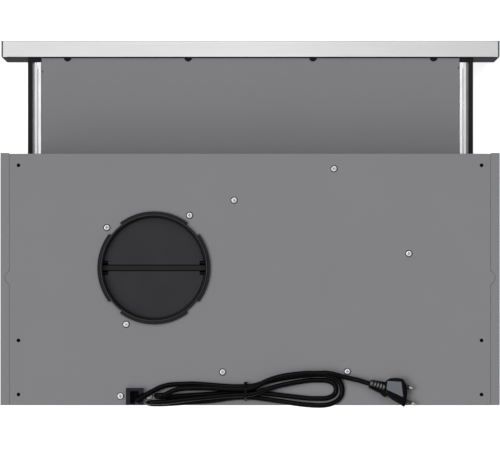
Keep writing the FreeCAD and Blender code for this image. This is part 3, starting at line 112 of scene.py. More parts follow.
# Screws through the top plate: pan heads with a cross recess, zinc plated steel. Ten of them
# hold the blower housing and the terminal box, each on a sprung washer drawn dark as painted
# shade round its head.


def bright_metal(name, dark, light, across, along, rough):
    # Bright metal, as zinc or nickel plate, drawn aluminium or ground steel: a cold white shine
    # with fine lines along the piece. The real lines are near 0.1 mm; they are drawn wider here
    # so that they show.
    material, tree, surface, place = finish_of(name)
    stretch = add(tree, "ShaderNodeMapping", {"Vector": place, "Scale": (1 / across, 1 / along, 1 / across)})
    lines = add(tree, "ShaderNodeTexNoise", {"Vector": stretch.outputs["Vector"], "Scale": 1.0,
                                             "Detail": 4.0}).outputs["Fac"]
    clouds = add(tree, "ShaderNodeTexNoise", {"Vector": place, "Scale": 1 / 0.012, "Detail": 3.0})
    edge = add(tree, "ShaderNodeBevel", {"Radius": 0.0005}, samples=4)
    bump = add(tree, "ShaderNodeBump", {"Height": lines, "Strength": 0.15, "Distance": 0.00003,
                                        "Normal": edge.outputs["Normal"]})
    tone = add(tree, "ShaderNodeMix", {0: lines, 6: linear(dark), 7: linear(light)}, data_type="RGBA")
    dull = add(tree, "ShaderNodeMapRange", {"Value": clouds.outputs["Fac"], "To Min": rough - 0.06,
                                            "To Max": rough + 0.08})
    feed(tree, surface, {"Base Color": tone.outputs[2], "Roughness": dull.outputs["Result"],
                         "Normal": bump.outputs["Normal"], "Metallic": 1.0})
    return material


def middles_of(mesh):
    # The middle of each separate solid of a node, seen from above
    form = bmesh.new()
    form.from_mesh(mesh)
    bmesh.ops.remove_doubles(form, verts=form.verts, dist=1e-7)
    form.verts.ensure_lookup_table()
    middles, seen = [], set()
    for first in form.verts:
        if first.index in seen:
            continue
        group, front = [], [first]
        seen.add(first.index)
        while front:
            vert = front.pop()
            group.append(vert.co.copy())
            for edge in vert.link_edges:
                other = edge.other_vert(vert)
                if other.index not in seen:
                    seen.add(other.index)
                    front.append(other)
        middles.append(Vector(((min(c.x for c in group) + max(c.x for c in group)) / 2,
                               (min(c.y for c in group) + max(c.y for c in group)) / 2)))
    form.free()
    return middles


def finish_faces(piece, material, chosen):
    # One more finish on a piece, for the faces chosen by their middle and their normal
    piece.data.materials.append(material)
    slot = len(piece.data.materials) - 1
    for face in piece.data.polygons:
        if chosen(face.center, face.normal):
            face.material_index = slot


plate_top = 0.176
head_rise = 0.0022
recess_half = 0.00215
recess_drop = 0.0002
screws_on_top = (part["top_screws"], part["box_screws"])
screw_middles = [middle for screws in screws_on_top for middle in middles_of(screws.data)]


def in_cross_recess(spot, normal):
    near = min((spot.xy - middle).length for middle in screw_middles)
    return near < recess_half and plate_top < spot.z < plate_top + head_rise - recess_drop


zinc_head = bright_metal("zinc_plated_screw_head", "b4b4b7", "cfcfd2", 0.0007, 0.004, 0.34)
# The cross recess is painted darker as the shade in it
recess_shade_zinc = bright_metal("zinc_recess_painted_shade", "84848a", "9c9ca1", 0.0007, 0.004, 0.5)
wear(zinc_head, *screws_on_top)
for screws in screws_on_top:
    finish_faces(screws, recess_shade_zinc, in_cross_recess)


def phosphated(name, dark, light, rough):
    # Phosphated spring steel: dull dark grey, nearly even, with specks of wear half a millimetre wide
    material, tree, surface, place = finish_of(name)
    specks = add(tree, "ShaderNodeTexNoise", {"Vector": place, "Scale": 1 / 0.0005,
                                              "Detail": 4.0}).outputs["Fac"]
    tone = add(tree, "ShaderNodeMix", {0: specks, 6: linear(dark), 7: linear(light)}, data_type="RGBA")
    dull = add(tree, "ShaderNodeMapRange", {"Value": specks, "To Min": rough - 0.05, "To Max": rough + 0.1})
    bump = add(tree, "ShaderNodeBump", {"Height": specks, "Strength": 0.2, "Distance": 0.00003})
    feed(tree, surface, {"Base Color": tone.outputs[2], "Roughness": dull.outputs["Result"],
                         "Normal": bump.outputs["Normal"], "Metallic": 1.0})
    return material


def piece_of(name, form, body):
    # A new piece from its mesh, riding on a body
    mesh = bpy.data.meshes.new(name)
    bmesh.ops.recalc_face_normals(form, faces=form.faces)
    form.to_mesh(mesh)
    form.free()
    piece = bpy.data.objects.new(name, mesh)
    bpy.context.scene.collection.objects.link(piece)
    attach(piece, body)
    return piece


def join_loops(form, loops):
    # Faces all round from each loop of points to the next
    for low, high in zip(loops, loops[1:]):
        for i in range(len(low)):
            k = (i + 1) % len(low)
            form.faces.new((low[i], low[k], high[k], high[i]))


def lathe(form, centre, profile, steps, notch=0.0):
    # A closed ring turned about an upright axis from (radius, height) pairs, every second step
    # drawn in by the notch; sizes in metres
    loops = []
    for radius, height in profile:
        loop = []
        for i in range(steps):
            turn = 2 * math.pi * i / steps
            reach = radius - (notch if i % 2 else 0.0)
            loop.append(form.verts.new((centre[0] + reach * math.cos(turn),
                                        centre[1] + reach * math.sin(turn), height)))
        loops.append(loop)
    join_loops(form, loops + loops[:1])


washer_inner = 0.0021
washer_outer = 0.0044
washer_edge = 0.0004
washer_tooth = 0.00015
washer_foot = plate_top + 0.00002
washer_waist = plate_top + 0.0002
washer_face = plate_top + 0.0004
washer_steps = 36
washer_form = bmesh.new()
for middle in screw_middles:
    lathe(washer_form, middle, ((washer_inner, washer_foot), (washer_outer, washer_foot),
                                (washer_outer, washer_waist), (washer_outer - washer_edge, washer_face),
                                (washer_inner, washer_face)), washer_steps, washer_tooth)
# The washers are drawn near black as painted shade round the screw heads
shade_ring_washers = piece_of("shade_ring_washers", washer_form, "hood")
wear(phosphated("washer_painted_shade_steel", "2e2e31", "47474a", 0.55), shade_ring_washers)

# Duct collar: ABS moulding that the duct adapter locks on to, with four lugs and a cross bar. The
# top of its rim is glossier and painted lighter as a highlight. Two flaps of the same ABS swing up
# in it on steel pins when the fan blows.


def moulded(name, dark, light, grain, rough, shine):
    # Moulded plastic, and paint or ink as matt as it: satin and almost even in colour. The tool's
    # spark eroded grain is near 0.1 mm and is drawn at about 1 mm here so that it shows; the flow
    # of the melt leaves faint clouds, about 30 to the metre.
    material, tree, surface, place = finish_of(name)
    grit = add(tree, "ShaderNodeTexNoise", {"Vector": place, "Scale": 1 / grain,
                                            "Detail": 3.0}).outputs["Fac"]
    cloud = add(tree, "ShaderNodeTexNoise", {"Vector": place, "Scale": 30.0, "Detail": 2.0}).outputs["Fac"]
    edge = add(tree, "ShaderNodeBevel", {"Radius": 0.0005}, samples=4)
    bump = add(tree, "ShaderNodeBump", {"Height": grit, "Strength": 0.2, "Distance": 0.00003,
                                        "Normal": edge.outputs["Normal"]})
    tone = add(tree, "ShaderNodeMix", {0: cloud, 6: linear(dark), 7: linear(light)}, data_type="RGBA")
    satin = add(tree, "ShaderNodeMapRange", {"Value": grit, "To Min": rough - 0.05, "To Max": rough + 0.07})
    feed(tree, surface, {"Base Color": tone.outputs[2], "Roughness": satin.outputs["Result"],
                         "Normal": bump.outputs["Normal"], "Specular IOR Level": shine})
    return material


def at_level(height):
    # Chooses the flat faces that look up from one height, within a tenth of a millimetre
    return lambda spot, normal: normal.z > 0.9 and abs(spot.z - height) < 0.0001


rim_top = 0.182
wear(moulded("moulded_collar_abs", "121214", "18181a", 0.0009, 0.5, 0.14), part["duct_collar"])
# The top of the rim is glossier and painted lighter as a highlight
finish_faces(part["duct_collar"], moulded("rim_highlight_abs", "343438", "404044", 0.0009, 0.32, 0.4),
             at_level(rim_top))
wear(moulded("moulded_flap_abs", "27272a", "2f2f31", 0.0009, 0.5, 0.14),
     part["flap_front"], part["flap_rear"])
# The pins are painted dark as the shade in their pockets
wear(phosphated("pin_painted_shade", "1a1a1c", "2a2a2c", 0.5), part["flap_pins"])

# Blower: ABS volute housing in two halves with a drawn steel motor hung in its roof.
# The wheel is one ABS moulding pressed on the shaft; the stator is laminated steel and copper.
housing_abs = moulded("moulded_housing_abs", "1c1c1e", "262628", 0.0012, 0.55, 0.3)
wear(housing_abs, part["blower_housing_upper"], part["blower_housing_lower"], part["terminal_box"])
wear(moulded("moulded_wheel_abs", "232325", "2e2e30", 0.0008, 0.45, 0.35), part["impeller"])
zinc_sheet = bright_metal("zinc_plated_sheet", "a8aaad", "c8cacd", 0.0009, 0.02, 0.36)
wear(zinc_sheet, part["motor_bracket"], part["motor_cap_upper"], part["motor_cap_lower"])
wear(bright_metal("ground_bearing_steel", "9a9a9e", "bcbcc0", 0.0003, 0.0003, 0.22),
     part["motor_bearings"], part["motor_shaft"])


def laminated(name):
    # Stator and rotor iron: punched 0.5 mm sheets stacked up, drawn as lines 1 mm apart
    material, tree, surface, place = finish_of(name)
    height = add(tree, "ShaderNodeSeparateXYZ", {"Vector": place}).outputs["Z"]
    count = add(tree, "ShaderNodeMath", {0: height, 1: 2 * math.pi / 0.001}, operation="MULTIPLY")
    wave = add(tree, "ShaderNodeMath", {0: count.outputs[0]}, operation="SINE")
    share = add(tree, "ShaderNodeMapRange", {"Value": wave.outputs[0], "From Min": -1.0,
                                             "From Max": 0.2}).outputs["Result"]
    bump = add(tree, "ShaderNodeBump", {"Height": share, "Strength": 0.4, "Distance": 0.0001})
    tone = add(tree, "ShaderNodeMix", {0: share, 6: linear("3a3a3d"), 7: linear("77777b")}, data_type="RGBA")
    feed(tree, surface, {"Base Color": tone.outputs[2], "Roughness": 0.5, "Metallic": 1.0,
                         "Normal": bump.outputs["Normal"]})
    return material


wear(laminated("laminated_electrical_steel"), part["stator_core"], part["rotor_core"])


def enamelled_wire(name):
    # Winding: 0.6 mm copper wire under clear enamel, laid round and round, orange brown and
    # glossy. Its turns are drawn 1.3 mm apart so that they show.
    material, tree, surface, place = finish_of(name)
    turns = add(tree, "ShaderNodeTexWave", {"Vector": place, "Scale": 1 / 0.004, "Distortion": 1.5},
                bands_direction="Z").outputs["Fac"]
    bump = add(tree, "ShaderNodeBump", {"Height": turns, "Strength": 0.6, "Distance": 0.0003})
    tone = add(tree, "ShaderNodeMix", {0: turns, 6: linear("5a2a12"), 7: linear("b9652f")}, data_type="RGBA")
    feed(tree, surface, {"Base Color": tone.outputs[2], "Roughness": 0.35, "Metallic": 1.0,
                         "Normal": bump.outputs["Normal"], "Coat Weight": 0.5})
    return material


wear(enamelled_wire("enamelled_copper_wire"), part["stator_windings"])

# Capacitor: a drawn aluminium can with a crimped end and a film roll sealed inside. It feeds the
# motor's second winding and is clipped in beside the blower.
wear(bright_metal("drawn_aluminium_can", "b6b7ba", "d0d1d4", 0.0006, 0.0006, 0.32), part["capacitor"])

# Cable gland: ABS block over the terminal box, open at the top and rear, with the bend relief
# of soft PVC let into it. The relief tapers and is grooved so that it bends with the cord.
gland_hollow_low = (0.1329, 0.2017, 0.1769)
gland_hollow_high = (0.1436, 0.2170, 0.1839)


def in_gland_hollow(spot, normal):
    return all(low < at < high for low, at, high in zip(gland_hollow_low, spot, gland_hollow_high))


wear(moulded("moulded_gland_abs", "14141a", "1a1a21", 0.0008, 0.5, 0.12), part["cable_gland"])
# The faces in the hollow are painted near black as the shade in it
finish_faces(part["cable_gland"], moulded("gland_hollow_painted_shade", "060607", "0a0a0b", 0.0008, 0.7, 0.03),
             in_gland_hollow)


def pvc(name, dark, light, rough, shine):
    # Flexible PVC: extruded smooth and a little glossy, with a trace of dust every few millimetres
    material, tree, surface, place = finish_of(name)
    dust = add(tree, "ShaderNodeTexNoise", {"Vector": place, "Scale": 1 / 0.004,
                                            "Detail": 4.0}).outputs["Fac"]
    bump = add(tree, "ShaderNodeBump", {"Height": dust, "Strength": 0.12, "Distance": 0.00004})
    tone = add(tree, "ShaderNodeMix", {0: dust, 6: linear(dark), 7: linear(light)}, data_type="RGBA")
    gloss = add(tree, "ShaderNodeMapRange", {"Value": dust, "To Min": rough - 0.05, "To Max": rough + 0.07})
    feed(tree, surface, {"Base Color": tone.outputs[2], "Roughness": gloss.outputs["Result"],
                         "Normal": bump.outputs["Normal"], "Specular IOR Level": shine})
    return material


cord_pvc = pvc("extruded_black_pvc", "040405", "060607", 0.2, 0.06)
wear(cord_pvc, part["bend_relief"])

# Mains cord: round PVC sheathed flex, 6 mm thick and 1.2 m long, folded into a flat hank.
# It leaves the gland through the bend relief and ends in the plug. Places are in millimetres,
# heights above the top plate, the hank's sizes from its waist, its turns in order from the gland.
cord_rest = 3.3
lead = ((118.03, 202.9, 6.2), (110.67, 198.65, 6.2), (102.61, 195.64, 4.9), (94.17, 194.0, 3.6),
        (85.68, 193.75, 3.6))
tail = ((-99.5, 181.5, 8.9), (-109.4, 184.4, 6.8), (-120.2, 186.8, 5.6), (-132.17, 189.47, 7.2),
        (-143.2, 193.05, 7.2))
waist = (5.15, 203.0)
waist_lift = 1.2
strand_pitch = 6.5
layer_rise = 7.0
lane_shares = (-1.0, 0.5, -0.5)
layer_shares = (0.0, 1.0, 1.0)
lobe_runs = (92.0, 92.0, 84.35)
lobe_tops = (20.9, 14.1, 22.5)
lobe_top_rises = (0.0, 0.0, 6.2)
lobe_lows = (16.2, 7.9)
neck_run = 29.15
neck_out_shares = (0.45, 0.45, 0.60)
neck_rise_share = 0.86
neck_out_slope_share = 1.5
neck_fall_share = 1.2
neck_back_share = 0.30
neck_back_slope_share = 1.4
reaches = (115.7, 108.2)
reach_rises = (2.2, 3.2)
fold_radius = 6.1
fold_tilt = 1.1
fold_runs = (110.45, 100.95)
fold_offsets = (13.3, 4.8)
left_run = 54.85
left_drop = 1.5
left_slope = 0.05


def strand_out(turn):
    # Stations, each a place and a direction, from the waist out to the top of the right lobe,
    # with a neck between them at a share of the way across and up
    x, y = waist
    lane = y + lane_shares[turn] * strand_pitch
    rise = layer_shares[turn] * layer_rise
    end_rise = lobe_top_rises[turn]
    neck_rise = end_rise + neck_rise_share * (rise - end_rise)
    top = y - lobe_tops[turn]
    neck = lane + neck_out_shares[turn] * (top - lane)
    slope = (neck_out_slope_share * (top - lane) / lobe_runs[turn],
             neck_fall_share * (end_rise - rise) / lobe_runs[turn])
    return [((x, lane, cord_rest + waist_lift + rise), (-1, 0, 0)),
            ((x - neck_run, neck, cord_rest + neck_rise), (-1,) + slope),
            ((x - lobe_runs[turn], top, cord_rest + end_rise), (-1, 0, 0))]


def strand_back(turn):
    # Stations round the end of the right lobe, back through the waist and on to the left
    x, y = waist
    lane = y + (1 - turn) * strand_pitch
    low = y + lobe_lows[turn]
    neck = lane + neck_back_share * (low - lane)
    return [((x - reaches[turn], y - reach_rises[turn], cord_rest), (0, 1, 0)),
            ((x - lobe_runs[turn], low, cord_rest), (1, 0, 0)),
            ((x - neck_run, neck, cord_rest), (1, neck_back_slope_share * (lane - low) / lobe_runs[turn], 0)),
            ((x, lane, cord_rest + waist_lift), (1, 0, 0)),
            ((x + left_run, y + fold_offsets[turn] - left_drop, cord_rest), (1, left_slope, 0))]


def fold(turn):
    # Stations of the upright fold at the left end
    x, y = waist[0] + fold_runs[turn], waist[1] + fold_offsets[turn]
    rise = math.sqrt(fold_radius ** 2 - fold_tilt ** 2)
    return [((x, y + fold_tilt, cord_rest), (1, 0, 0)),
            ((x + fold_radius, y, cord_rest + rise), (0, -fold_tilt, rise)),
            ((x, y - fold_tilt, cord_rest + 2 * rise), (-1, 0, 0))]


coming_back = ([((60.0, 210.2, 11.7), (-1, -0.10, -0.06))],
               [((90.0, 200.8, 14.2), (-1, -0.26, -0.08)), ((60.0, 198.4, 11.6), (-1, -0.01, -0.04))])
start_way = Vector(lead[-1]) - Vector(lead[-2])
end_way = Vector(tail[1]) - Vector(tail[0])
stations = [(lead[-1], start_way)]
for turn in (0, 1):
    stations += strand_out(turn) + strand_back(turn) + fold(turn) + coming_back[turn]
stations += strand_out(2) + [(tail[0], end_way)]


def corners_between(p, t, q, u):
    # The two route corners at which the cord turns on its way from one station to the next
    p, q, t, u = Vector(p), Vector(q), Vector(t).normalized(), Vector(u).normalized()
    chord = q - p
    along = chord.dot(t + u)
    spread = 2 * (1 - t.dot(u))
    if spread < 1e-9:
        leg = chord.dot(chord) / (2 * along)
    else:
        leg = (math.sqrt(along ** 2 + spread * chord.dot(chord)) - along) / spread
    return [p + t * leg, q - u * leg]


# Where a long leg meets a short one at a station, one more point on the long leg keeps the
# curve on the station and its bend as round as the short leg allows
uneven_legs = 2.2
route = [Vector(p) for p in lead[:-1]]
for (p, t), (q, u) in zip(stations, stations[1:]):
    first, last = corners_between(p, t, q, u)
    here = Vector(p)
    arriving, leaving = here - route[-1], first - here
    if arriving.length > uneven_legs * leaving.length:
        route.append(here - arriving.normalized() * leaving.length)
    elif leaving.length > uneven_legs * arriving.length:
        route.append(here + leaving.normalized() * arriving.length)
    route += [first, last]
route += [Vector(p) for p in tail[1:]]
cord_line = bpy.data.curves.new("mains_cord", "CURVE")
cord_line.dimensions = "3D"
cord_line.resolution_u = 8
cord_line.bevel_depth = 0.003
cord_line.bevel_resolution = 6
cord_line.use_fill_caps = True
spline = cord_line.splines.new("NURBS")
spline.points.add(len(route) - 1)
for point, corner in zip(spline.points, route):
    point.co = (corner.x / 1000, corner.y / 1000, plate_top + corner.z / 1000, 1.0)
spline.order_u = 3
spline.use_endpoint_u = True
mains_cord = bpy.data.objects.new("mains_cord", cord_line)
bpy.context.scene.collection.objects.link(mains_cord)
wear(cord_pvc, mains_cord)
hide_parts("cord_lead", "cord_hank", "cord_tail")
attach(mains_cord, "hood")

# Cable tie: moulded black nylon, 3 mm wide. It is pulled tight round the hank's waist, its
# ratchet head at the front.
wear(moulded("moulded_black_nylon", "060607", "0b0b0c", 0.0006, 0.45, 0.06), part["cable_tie"])

# Plug: flat two pin plug, moulded on the cord in black PVC. A low shoulder leads to its ribbed
# relief, whose rib tops on one side are glossier and painted lighter as a highlight, and a smooth
# panel is let into its top. Its pins are nickel plated brass with dark sleeves at the root. Places
# are in millimetres.
plug_pvc = pvc("moulded_black_pvc", "040405", "060607", 0.24, 0.06)
wear(plug_pvc, part["plug_body"])


def rounded_outline(corners, radius, steps):
    # An outline with its corners rounded, for a thin plate; sizes in millimetres
    outline = []
    for i, corner in enumerate(corners):
        here = Vector(corner)
        back = (Vector(corners[i - 1]) - here).normalized()
        ahead = (Vector(corners[(i + 1) % len(corners)]) - here).normalized()
        for k in range(steps + 1):
            share = k / steps
            outline.append((here + back * radius) * (1 - share) ** 2 + here * 2 * share * (1 - share)
                           + (here + ahead * radius) * share ** 2)
    return outline


def fill_between(form, loops):
    # A solid through loops of points, with a flat face at both ends
    join_loops(form, loops)
    form.faces.new(list(reversed(loops[0])))
    form.faces.new(loops[-1])


def thin_plate(form, outline, low, high, chamfer):
    # A thin plate with a chamfered top edge. The sizes of all plates, here and below, are in
    # millimetres.
    centre = sum((Vector(p) for p in outline), Vector((0, 0))) / len(outline)
    loops = []
    for height, inset in ((low, 0.0), (high - chamfer, 0.0), (high, chamfer)):
        loop = []
        for p in outline:
            q = Vector(p) + (centre - Vector(p)).normalized() * inset
            loop.append(form.verts.new((q.x / 1000, q.y / 1000, height / 1000)))
        loops.append(loop)
    fill_between(form, loops)


panel_corners = ((-164.5, 189.6), (-181.2, 190.8), (-183.6, 209.2), (-170.9, 203.4), (-163.5, 200.0))
panel_round = 1.1
panel_base = 189.1
panel_top = 190.15
panel_chamfer = 0.25
panel_form = bmesh.new()
thin_plate(panel_form, rounded_outline(panel_corners, panel_round, steps=5),
           panel_base, panel_top, panel_chamfer)
plug_panel = piece_of("plug_panel", panel_form, "hood")
wear(moulded("moulded_grey_panel", "5c5f66", "6a6d75", 0.0006, 0.42, 0.3), plug_panel)

plug_start = Vector((-143.2, 193.05))
plug_turn = math.radians(162.0)
plug_way = Vector((math.cos(plug_turn), math.sin(plug_turn)))
plug_side = Vector((-plug_way.y, plug_way.x))


def on_plug(spot):
    # How far a place on the object lies along the plug from its relief's end, and across it
    away = spot.xy * 1000 - plug_start
    return away.dot(plug_way), away.dot(plug_side)


shoulder_corners = ((16.6, -8.3), (16.6, 8.0), (23.0, 8.8), (26.0, 0.0), (23.0, -10.3))
shoulder_round = 1.5
shoulder_base = 177.4
shoulder_top = 189.0
shoulder_chamfer = 1.6
shoulder_places = [plug_start + plug_way * along + plug_side * across for along, across in shoulder_corners]
shoulder_form = bmesh.new()
thin_plate(shoulder_form, rounded_outline(shoulder_places, shoulder_round, steps=4),
           shoulder_base, shoulder_top, shoulder_chamfer)
plug_shoulder = piece_of("plug_shoulder", shoulder_form, "hood")
wear(plug_pvc, plug_shoulder)

relief_span = (0.8, 18.5)
highlight_reach = (-1.2, 4.6)
slot_pitch = 3.7
slot_width = 1.65


# The rib tops on one side only, which are given a lighter painted highlight
def on_lit_rib_top(spot, normal):
    along, across = on_plug(spot)
    in_slot = along > slot_pitch and along % slot_pitch < slot_width
    on_relief = relief_span[0] < along < relief_span[1] and highlight_reach[0] < across < highlight_reach[1]
    return normal.z > 0.6 and on_relief and not in_slot


finish_faces(part["plug_body"], pvc("rib_highlight_pvc", "1c1c21", "26262c", 0.25, 0.8), on_lit_rib_top)

pins_middle = 2.0
front_sleeve_end = 46.35
rear_sleeve_end = 54.95


def on_bare_pin(spot, normal):
    along, across = on_plug(spot)
    return along > (front_sleeve_end if across > pins_middle else rear_sleeve_end)


wear(pvc("moulded_pin_sleeve", "151518", "1e1e22", 0.4, 0.25), part["plug_pins"])
finish_faces(part["plug_pins"], bright_metal("nickel_plated_brass", "807a70", "a09a8e", 0.0004, 0.0004, 0.24),
             on_bare_pin)

# Front strip: stainless sheet, 0.8 mm, brushed lengthwise and folded over the drawer's front.
# Its two ends are closed by moulded caps, and an ABS carrier behind it holds the drawer together,
# with a thin lip over the tray's edge that makes room for the four screws.


def brushed(name, dark, light):
    # Brushed stainless steel: hair lines of 0.1 mm along the strip, drawn at 0.5 mm here so that
    # they show. A painted reflection makes the strip darker towards its ends, and painted shade
    # darkens the front fold.
    material, tree, surface, place = finish_of(name)
    stretch = add(tree, "ShaderNodeMapping", {"Vector": place, "Scale": (1 / 0.09, 1 / 0.0005, 1 / 0.0005)})
    hair = add(tree, "ShaderNodeTexNoise", {"Vector": stretch.outputs["Vector"], "Scale": 1.0,
                                            "Detail": 5.0, "Roughness": 0.6}).outputs["Fac"]
    spot = add(tree, "ShaderNodeSeparateXYZ", {"Vector": place})
    along = add(tree, "ShaderNodeMapRange", {"Value": spot.outputs["X"], "From Min": -0.3, "From Max": 0.3})
    # Painted reflection: brightest in the middle, darker towards both ends, one end more
    reflection_falloff = add(tree, "ShaderNodeValToRGB", {"Fac": along.outputs["Result"]})
    reflection_falloff.color_ramp.elements[0].color = (0.80, 0.80, 0.80, 1.0)
    reflection_falloff.color_ramp.elements[1].color = (0.92, 0.92, 0.92, 1.0)
    reflection_falloff.color_ramp.elements.new(0.5).color = (1.0, 1.0, 1.0, 1.0)
    # Painted shade on the front fold
    fold_shade = add(tree, "ShaderNodeMapRange", {"Value": spot.outputs["Y"], "From Min": -0.2189,
                                                  "From Max": -0.2178, "To Min": 0.45})
    lines = add(tree, "ShaderNodeMix", {0: hair, 6: linear(dark), 7: linear(light)}, data_type="RGBA")
    tone = add(tree, "ShaderNodeMix", {0: 1.0, 6: lines.outputs[2], 7: reflection_falloff.outputs["Color"]},
               data_type="RGBA", blend_type="MULTIPLY")
    painted_tone = add(tree, "ShaderNodeVectorMath", {0: tone.outputs[2], 1: fold_shade.outputs["Result"]},
               operation="MULTIPLY")
    bump = add(tree, "ShaderNodeBump", {"Height": hair, "Strength": 0.25, "Distance": 0.00003})
    dull = add(tree, "ShaderNodeMapRange", {"Value": hair, "To Min": 0.28, "To Max": 0.42})
    feed(tree, surface, {"Base Color": painted_tone.outputs["Vector"], "Roughness": dull.outputs["Result"],
                         "Normal": bump.outputs["Normal"], "Metallic": 1.0})
    return material


wear(brushed("brushed_stainless_steel", "bcbcbc", "cecece"), part["front_strip"])
wear(moulded("moulded_cap_abs", "46464a", "505054", 0.0009, 0.5, 0.3), part["end_caps"])
wear(moulded("moulded_carrier_abs", "323236", "3d3d41", 0.0010, 0.5, 0.25), part["strip_carrier"])

lip_span = 250.9
lip_front = -199.5
lip_rear = -197.9
lip_base = 39.95
lip_top = 41.0
lip_chamfer = 0.2
screw_spots = (75.2, 220.4)
screw_room = 4.8
lip_form = bmesh.new()
stops = [-lip_span] + sorted(side * x + end * screw_room for side in (-1, 1) for x in screw_spots
                             for end in (-1, 1)) + [lip_span]
for x0, x1 in zip(stops[::2], stops[1::2]):
    thin_plate(lip_form, [(x0, lip_front), (x1, lip_front), (x1, lip_rear), (x0, lip_rear)],
               lip_base, lip_top, lip_chamfer)
carrier_lip = piece_of("carrier_lip", lip_form, "drawer")
wear(moulded("moulded_lip_abs", "101011", "161617", 0.0010, 0.5, 0.08), carrier_lip)

# Tray: 1 mm sheet steel in the same powder coat, painted a little darker as shade, folded down at its sides
# and rear.
# Four black painted screws hold it to the carrier, and two small studs at its edges find the slides.
wear(powder_coat("powder_coat_tray_painted_shade", "7e7e81", "828285"), part["tray"])
wear(moulded("blackened_screw_head", "09090a", "0e0e0f", 0.0006, 0.5, 0.08), part["tray_screws"])
stud_places = ((250.5, -181.6), (-250.5, -186.4))
stud_radius = 0.9
stud_steps = 16
stud_base = 39.9
stud_top = 40.5
stud_chamfer = 0.15
stud_form = bmesh.new()
for stud_x, stud_y in stud_places:
    outline = [(stud_x + stud_radius * math.cos(2 * math.pi * i / stud_steps),
                stud_y + stud_radius * math.sin(2 * math.pi * i / stud_steps)) for i in range(stud_steps)]
    thin_plate(stud_form, outline, stud_base, stud_top, stud_chamfer)
tray_studs = piece_of("tray_studs", stud_form, "drawer")
wear(phosphated("blackened_stud", "141416", "222224", 0.6), tray_studs)

# Drawer slides: bright zinc plated steel channels beside the tray, drawn darker at their outer
# edge and with painted shade in their groove, each carried by a black nylon runner and a black
# bracket. The fixed rails in the body that they run in are zinc plated, painted near black as the
# shade seen through the holes above them.
slide_zinc = bright_metal("bright_zinc_slide", "d6d6d8", "e2e2e3", 0.0012, 0.06, 0.3)
# The outer edge of each slide is drawn darker
slide_outer_edge = bright_metal("outer_edge_zinc_slide", "bcbcbe", "c8c8c9", 0.0012, 0.06, 0.34)
# The groove is painted darker as the shade in it
groove_shade_zinc = bright_metal("zinc_groove_painted_shade", "7c7c7e", "8c8c8e", 0.0012, 0.06, 0.45)
outer_edge_width = 0.0038
groove_z = 0.0406
for side in ("left", "right"):
    slide = part["slide_" + side]
    low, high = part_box("slide_" + side)
    outer_edge_from = max(abs(low[0]), abs(high[0])) - outer_edge_width
    wear(slide_zinc, slide)
    finish_faces(slide, slide_outer_edge, lambda spot, normal: abs(spot.x) > outer_edge_from)
    finish_faces(slide, groove_shade_zinc, at_level(groove_z))
# The rails are painted near black as shade
wear(phosphated("rail_painted_shade_zinc", "161618", "222224", 0.55), part["rail_left"], part["rail_right"])

runner_nylon = moulded("moulded_runner_nylon", "131315", "1a1a1c", 0.0009, 0.5, 0.12)
# The runner's lip is drawn light grey, unlike the rest of the runner
runner_lip = moulded("grey_runner_lip", "acacae", "bcbcbe", 0.0009, 0.4, 0.25)
runner_lip_z = 0.036
for runner in (part["runner_left"], part["runner_right"]):
    wear(runner_nylon, runner)
    finish_faces(runner, runner_lip, at_level(runner_lip_z))
wear(moulded("moulded_bracket_nylon", "101012", "161618", 0.0009, 0.5, 0.1), part["slide_brackets"])

# Grease filters: two lift-out cassettes of anodised aluminium, a folded frame round layers of
# expanded mesh, each with a sprung nylon latch at its front.


def anodised(name, dark, light, rough):
    # Anodised aluminium: soft grey metal, etched matt, with faint rolling lines, drawn 0.8 mm
    # wide so that they show
    material, tree, surface, place = finish_of(name)
    stretch = add(tree, "ShaderNodeMapping", {"Vector": place, "Scale": (1 / 0.03, 1 / 0.0008, 1 / 0.0008)})
    rolling = add(tree, "ShaderNodeTexNoise", {"Vector": stretch.outputs["Vector"], "Scale": 1.0,
                                               "Detail": 3.0}).outputs["Fac"]
    edge = add(tree, "ShaderNodeBevel", {"Radius": 0.0006}, samples=4)
    bump = add(tree, "ShaderNodeBump", {"Height": rolling, "Strength": 0.1, "Distance": 0.00003,
                                        "Normal": edge.outputs["Normal"]})
    tone = add(tree, "ShaderNodeMix", {0: rolling, 6: linear(dark), 7: linear(light)}, data_type="RGBA")
    dull = add(tree, "ShaderNodeMapRange", {"Value": rolling, "To Min": rough - 0.05, "To Max": rough + 0.05})
    feed(tree, surface, {"Base Color": tone.outputs[2], "Roughness": dull.outputs["Result"],
                         "Normal": bump.outputs["Normal"], "Metallic": 1.0})
    return material


diamond_length = 0.0100
diamond_width = 0.0048
strand_width = 0.0008
strand_thickness = 0.0004
layer_heights = (0.0046, 0.0064)
latch_room = 0.0045
latch_rear = -0.0168
square_corners = ((-1, -1), (1, -1), (1, 1), (-1, 1))


def expanded_strand(form, x0, x1, y, z, phase):
    # One zigzag strand of the expanded sheet, tilted as the punch leaves it
    count = max(2, round((x1 - x0) / (diamond_length / 2)))
    loops = []
    for i in range(count + 1):
        up = 1 if (i + phase) % 2 else -1
        x = x0 + (x1 - x0) * i / count
        mid_y = y + up * (diamond_width / 2 - strand_width / 2)
        mid_z = z + up * strand_thickness / 2
        loops.append([form.verts.new((x, mid_y + a * strand_width / 2, mid_z + b * strand_thickness / 2))
                      for a, b in square_corners])
    fill_between(form, loops)


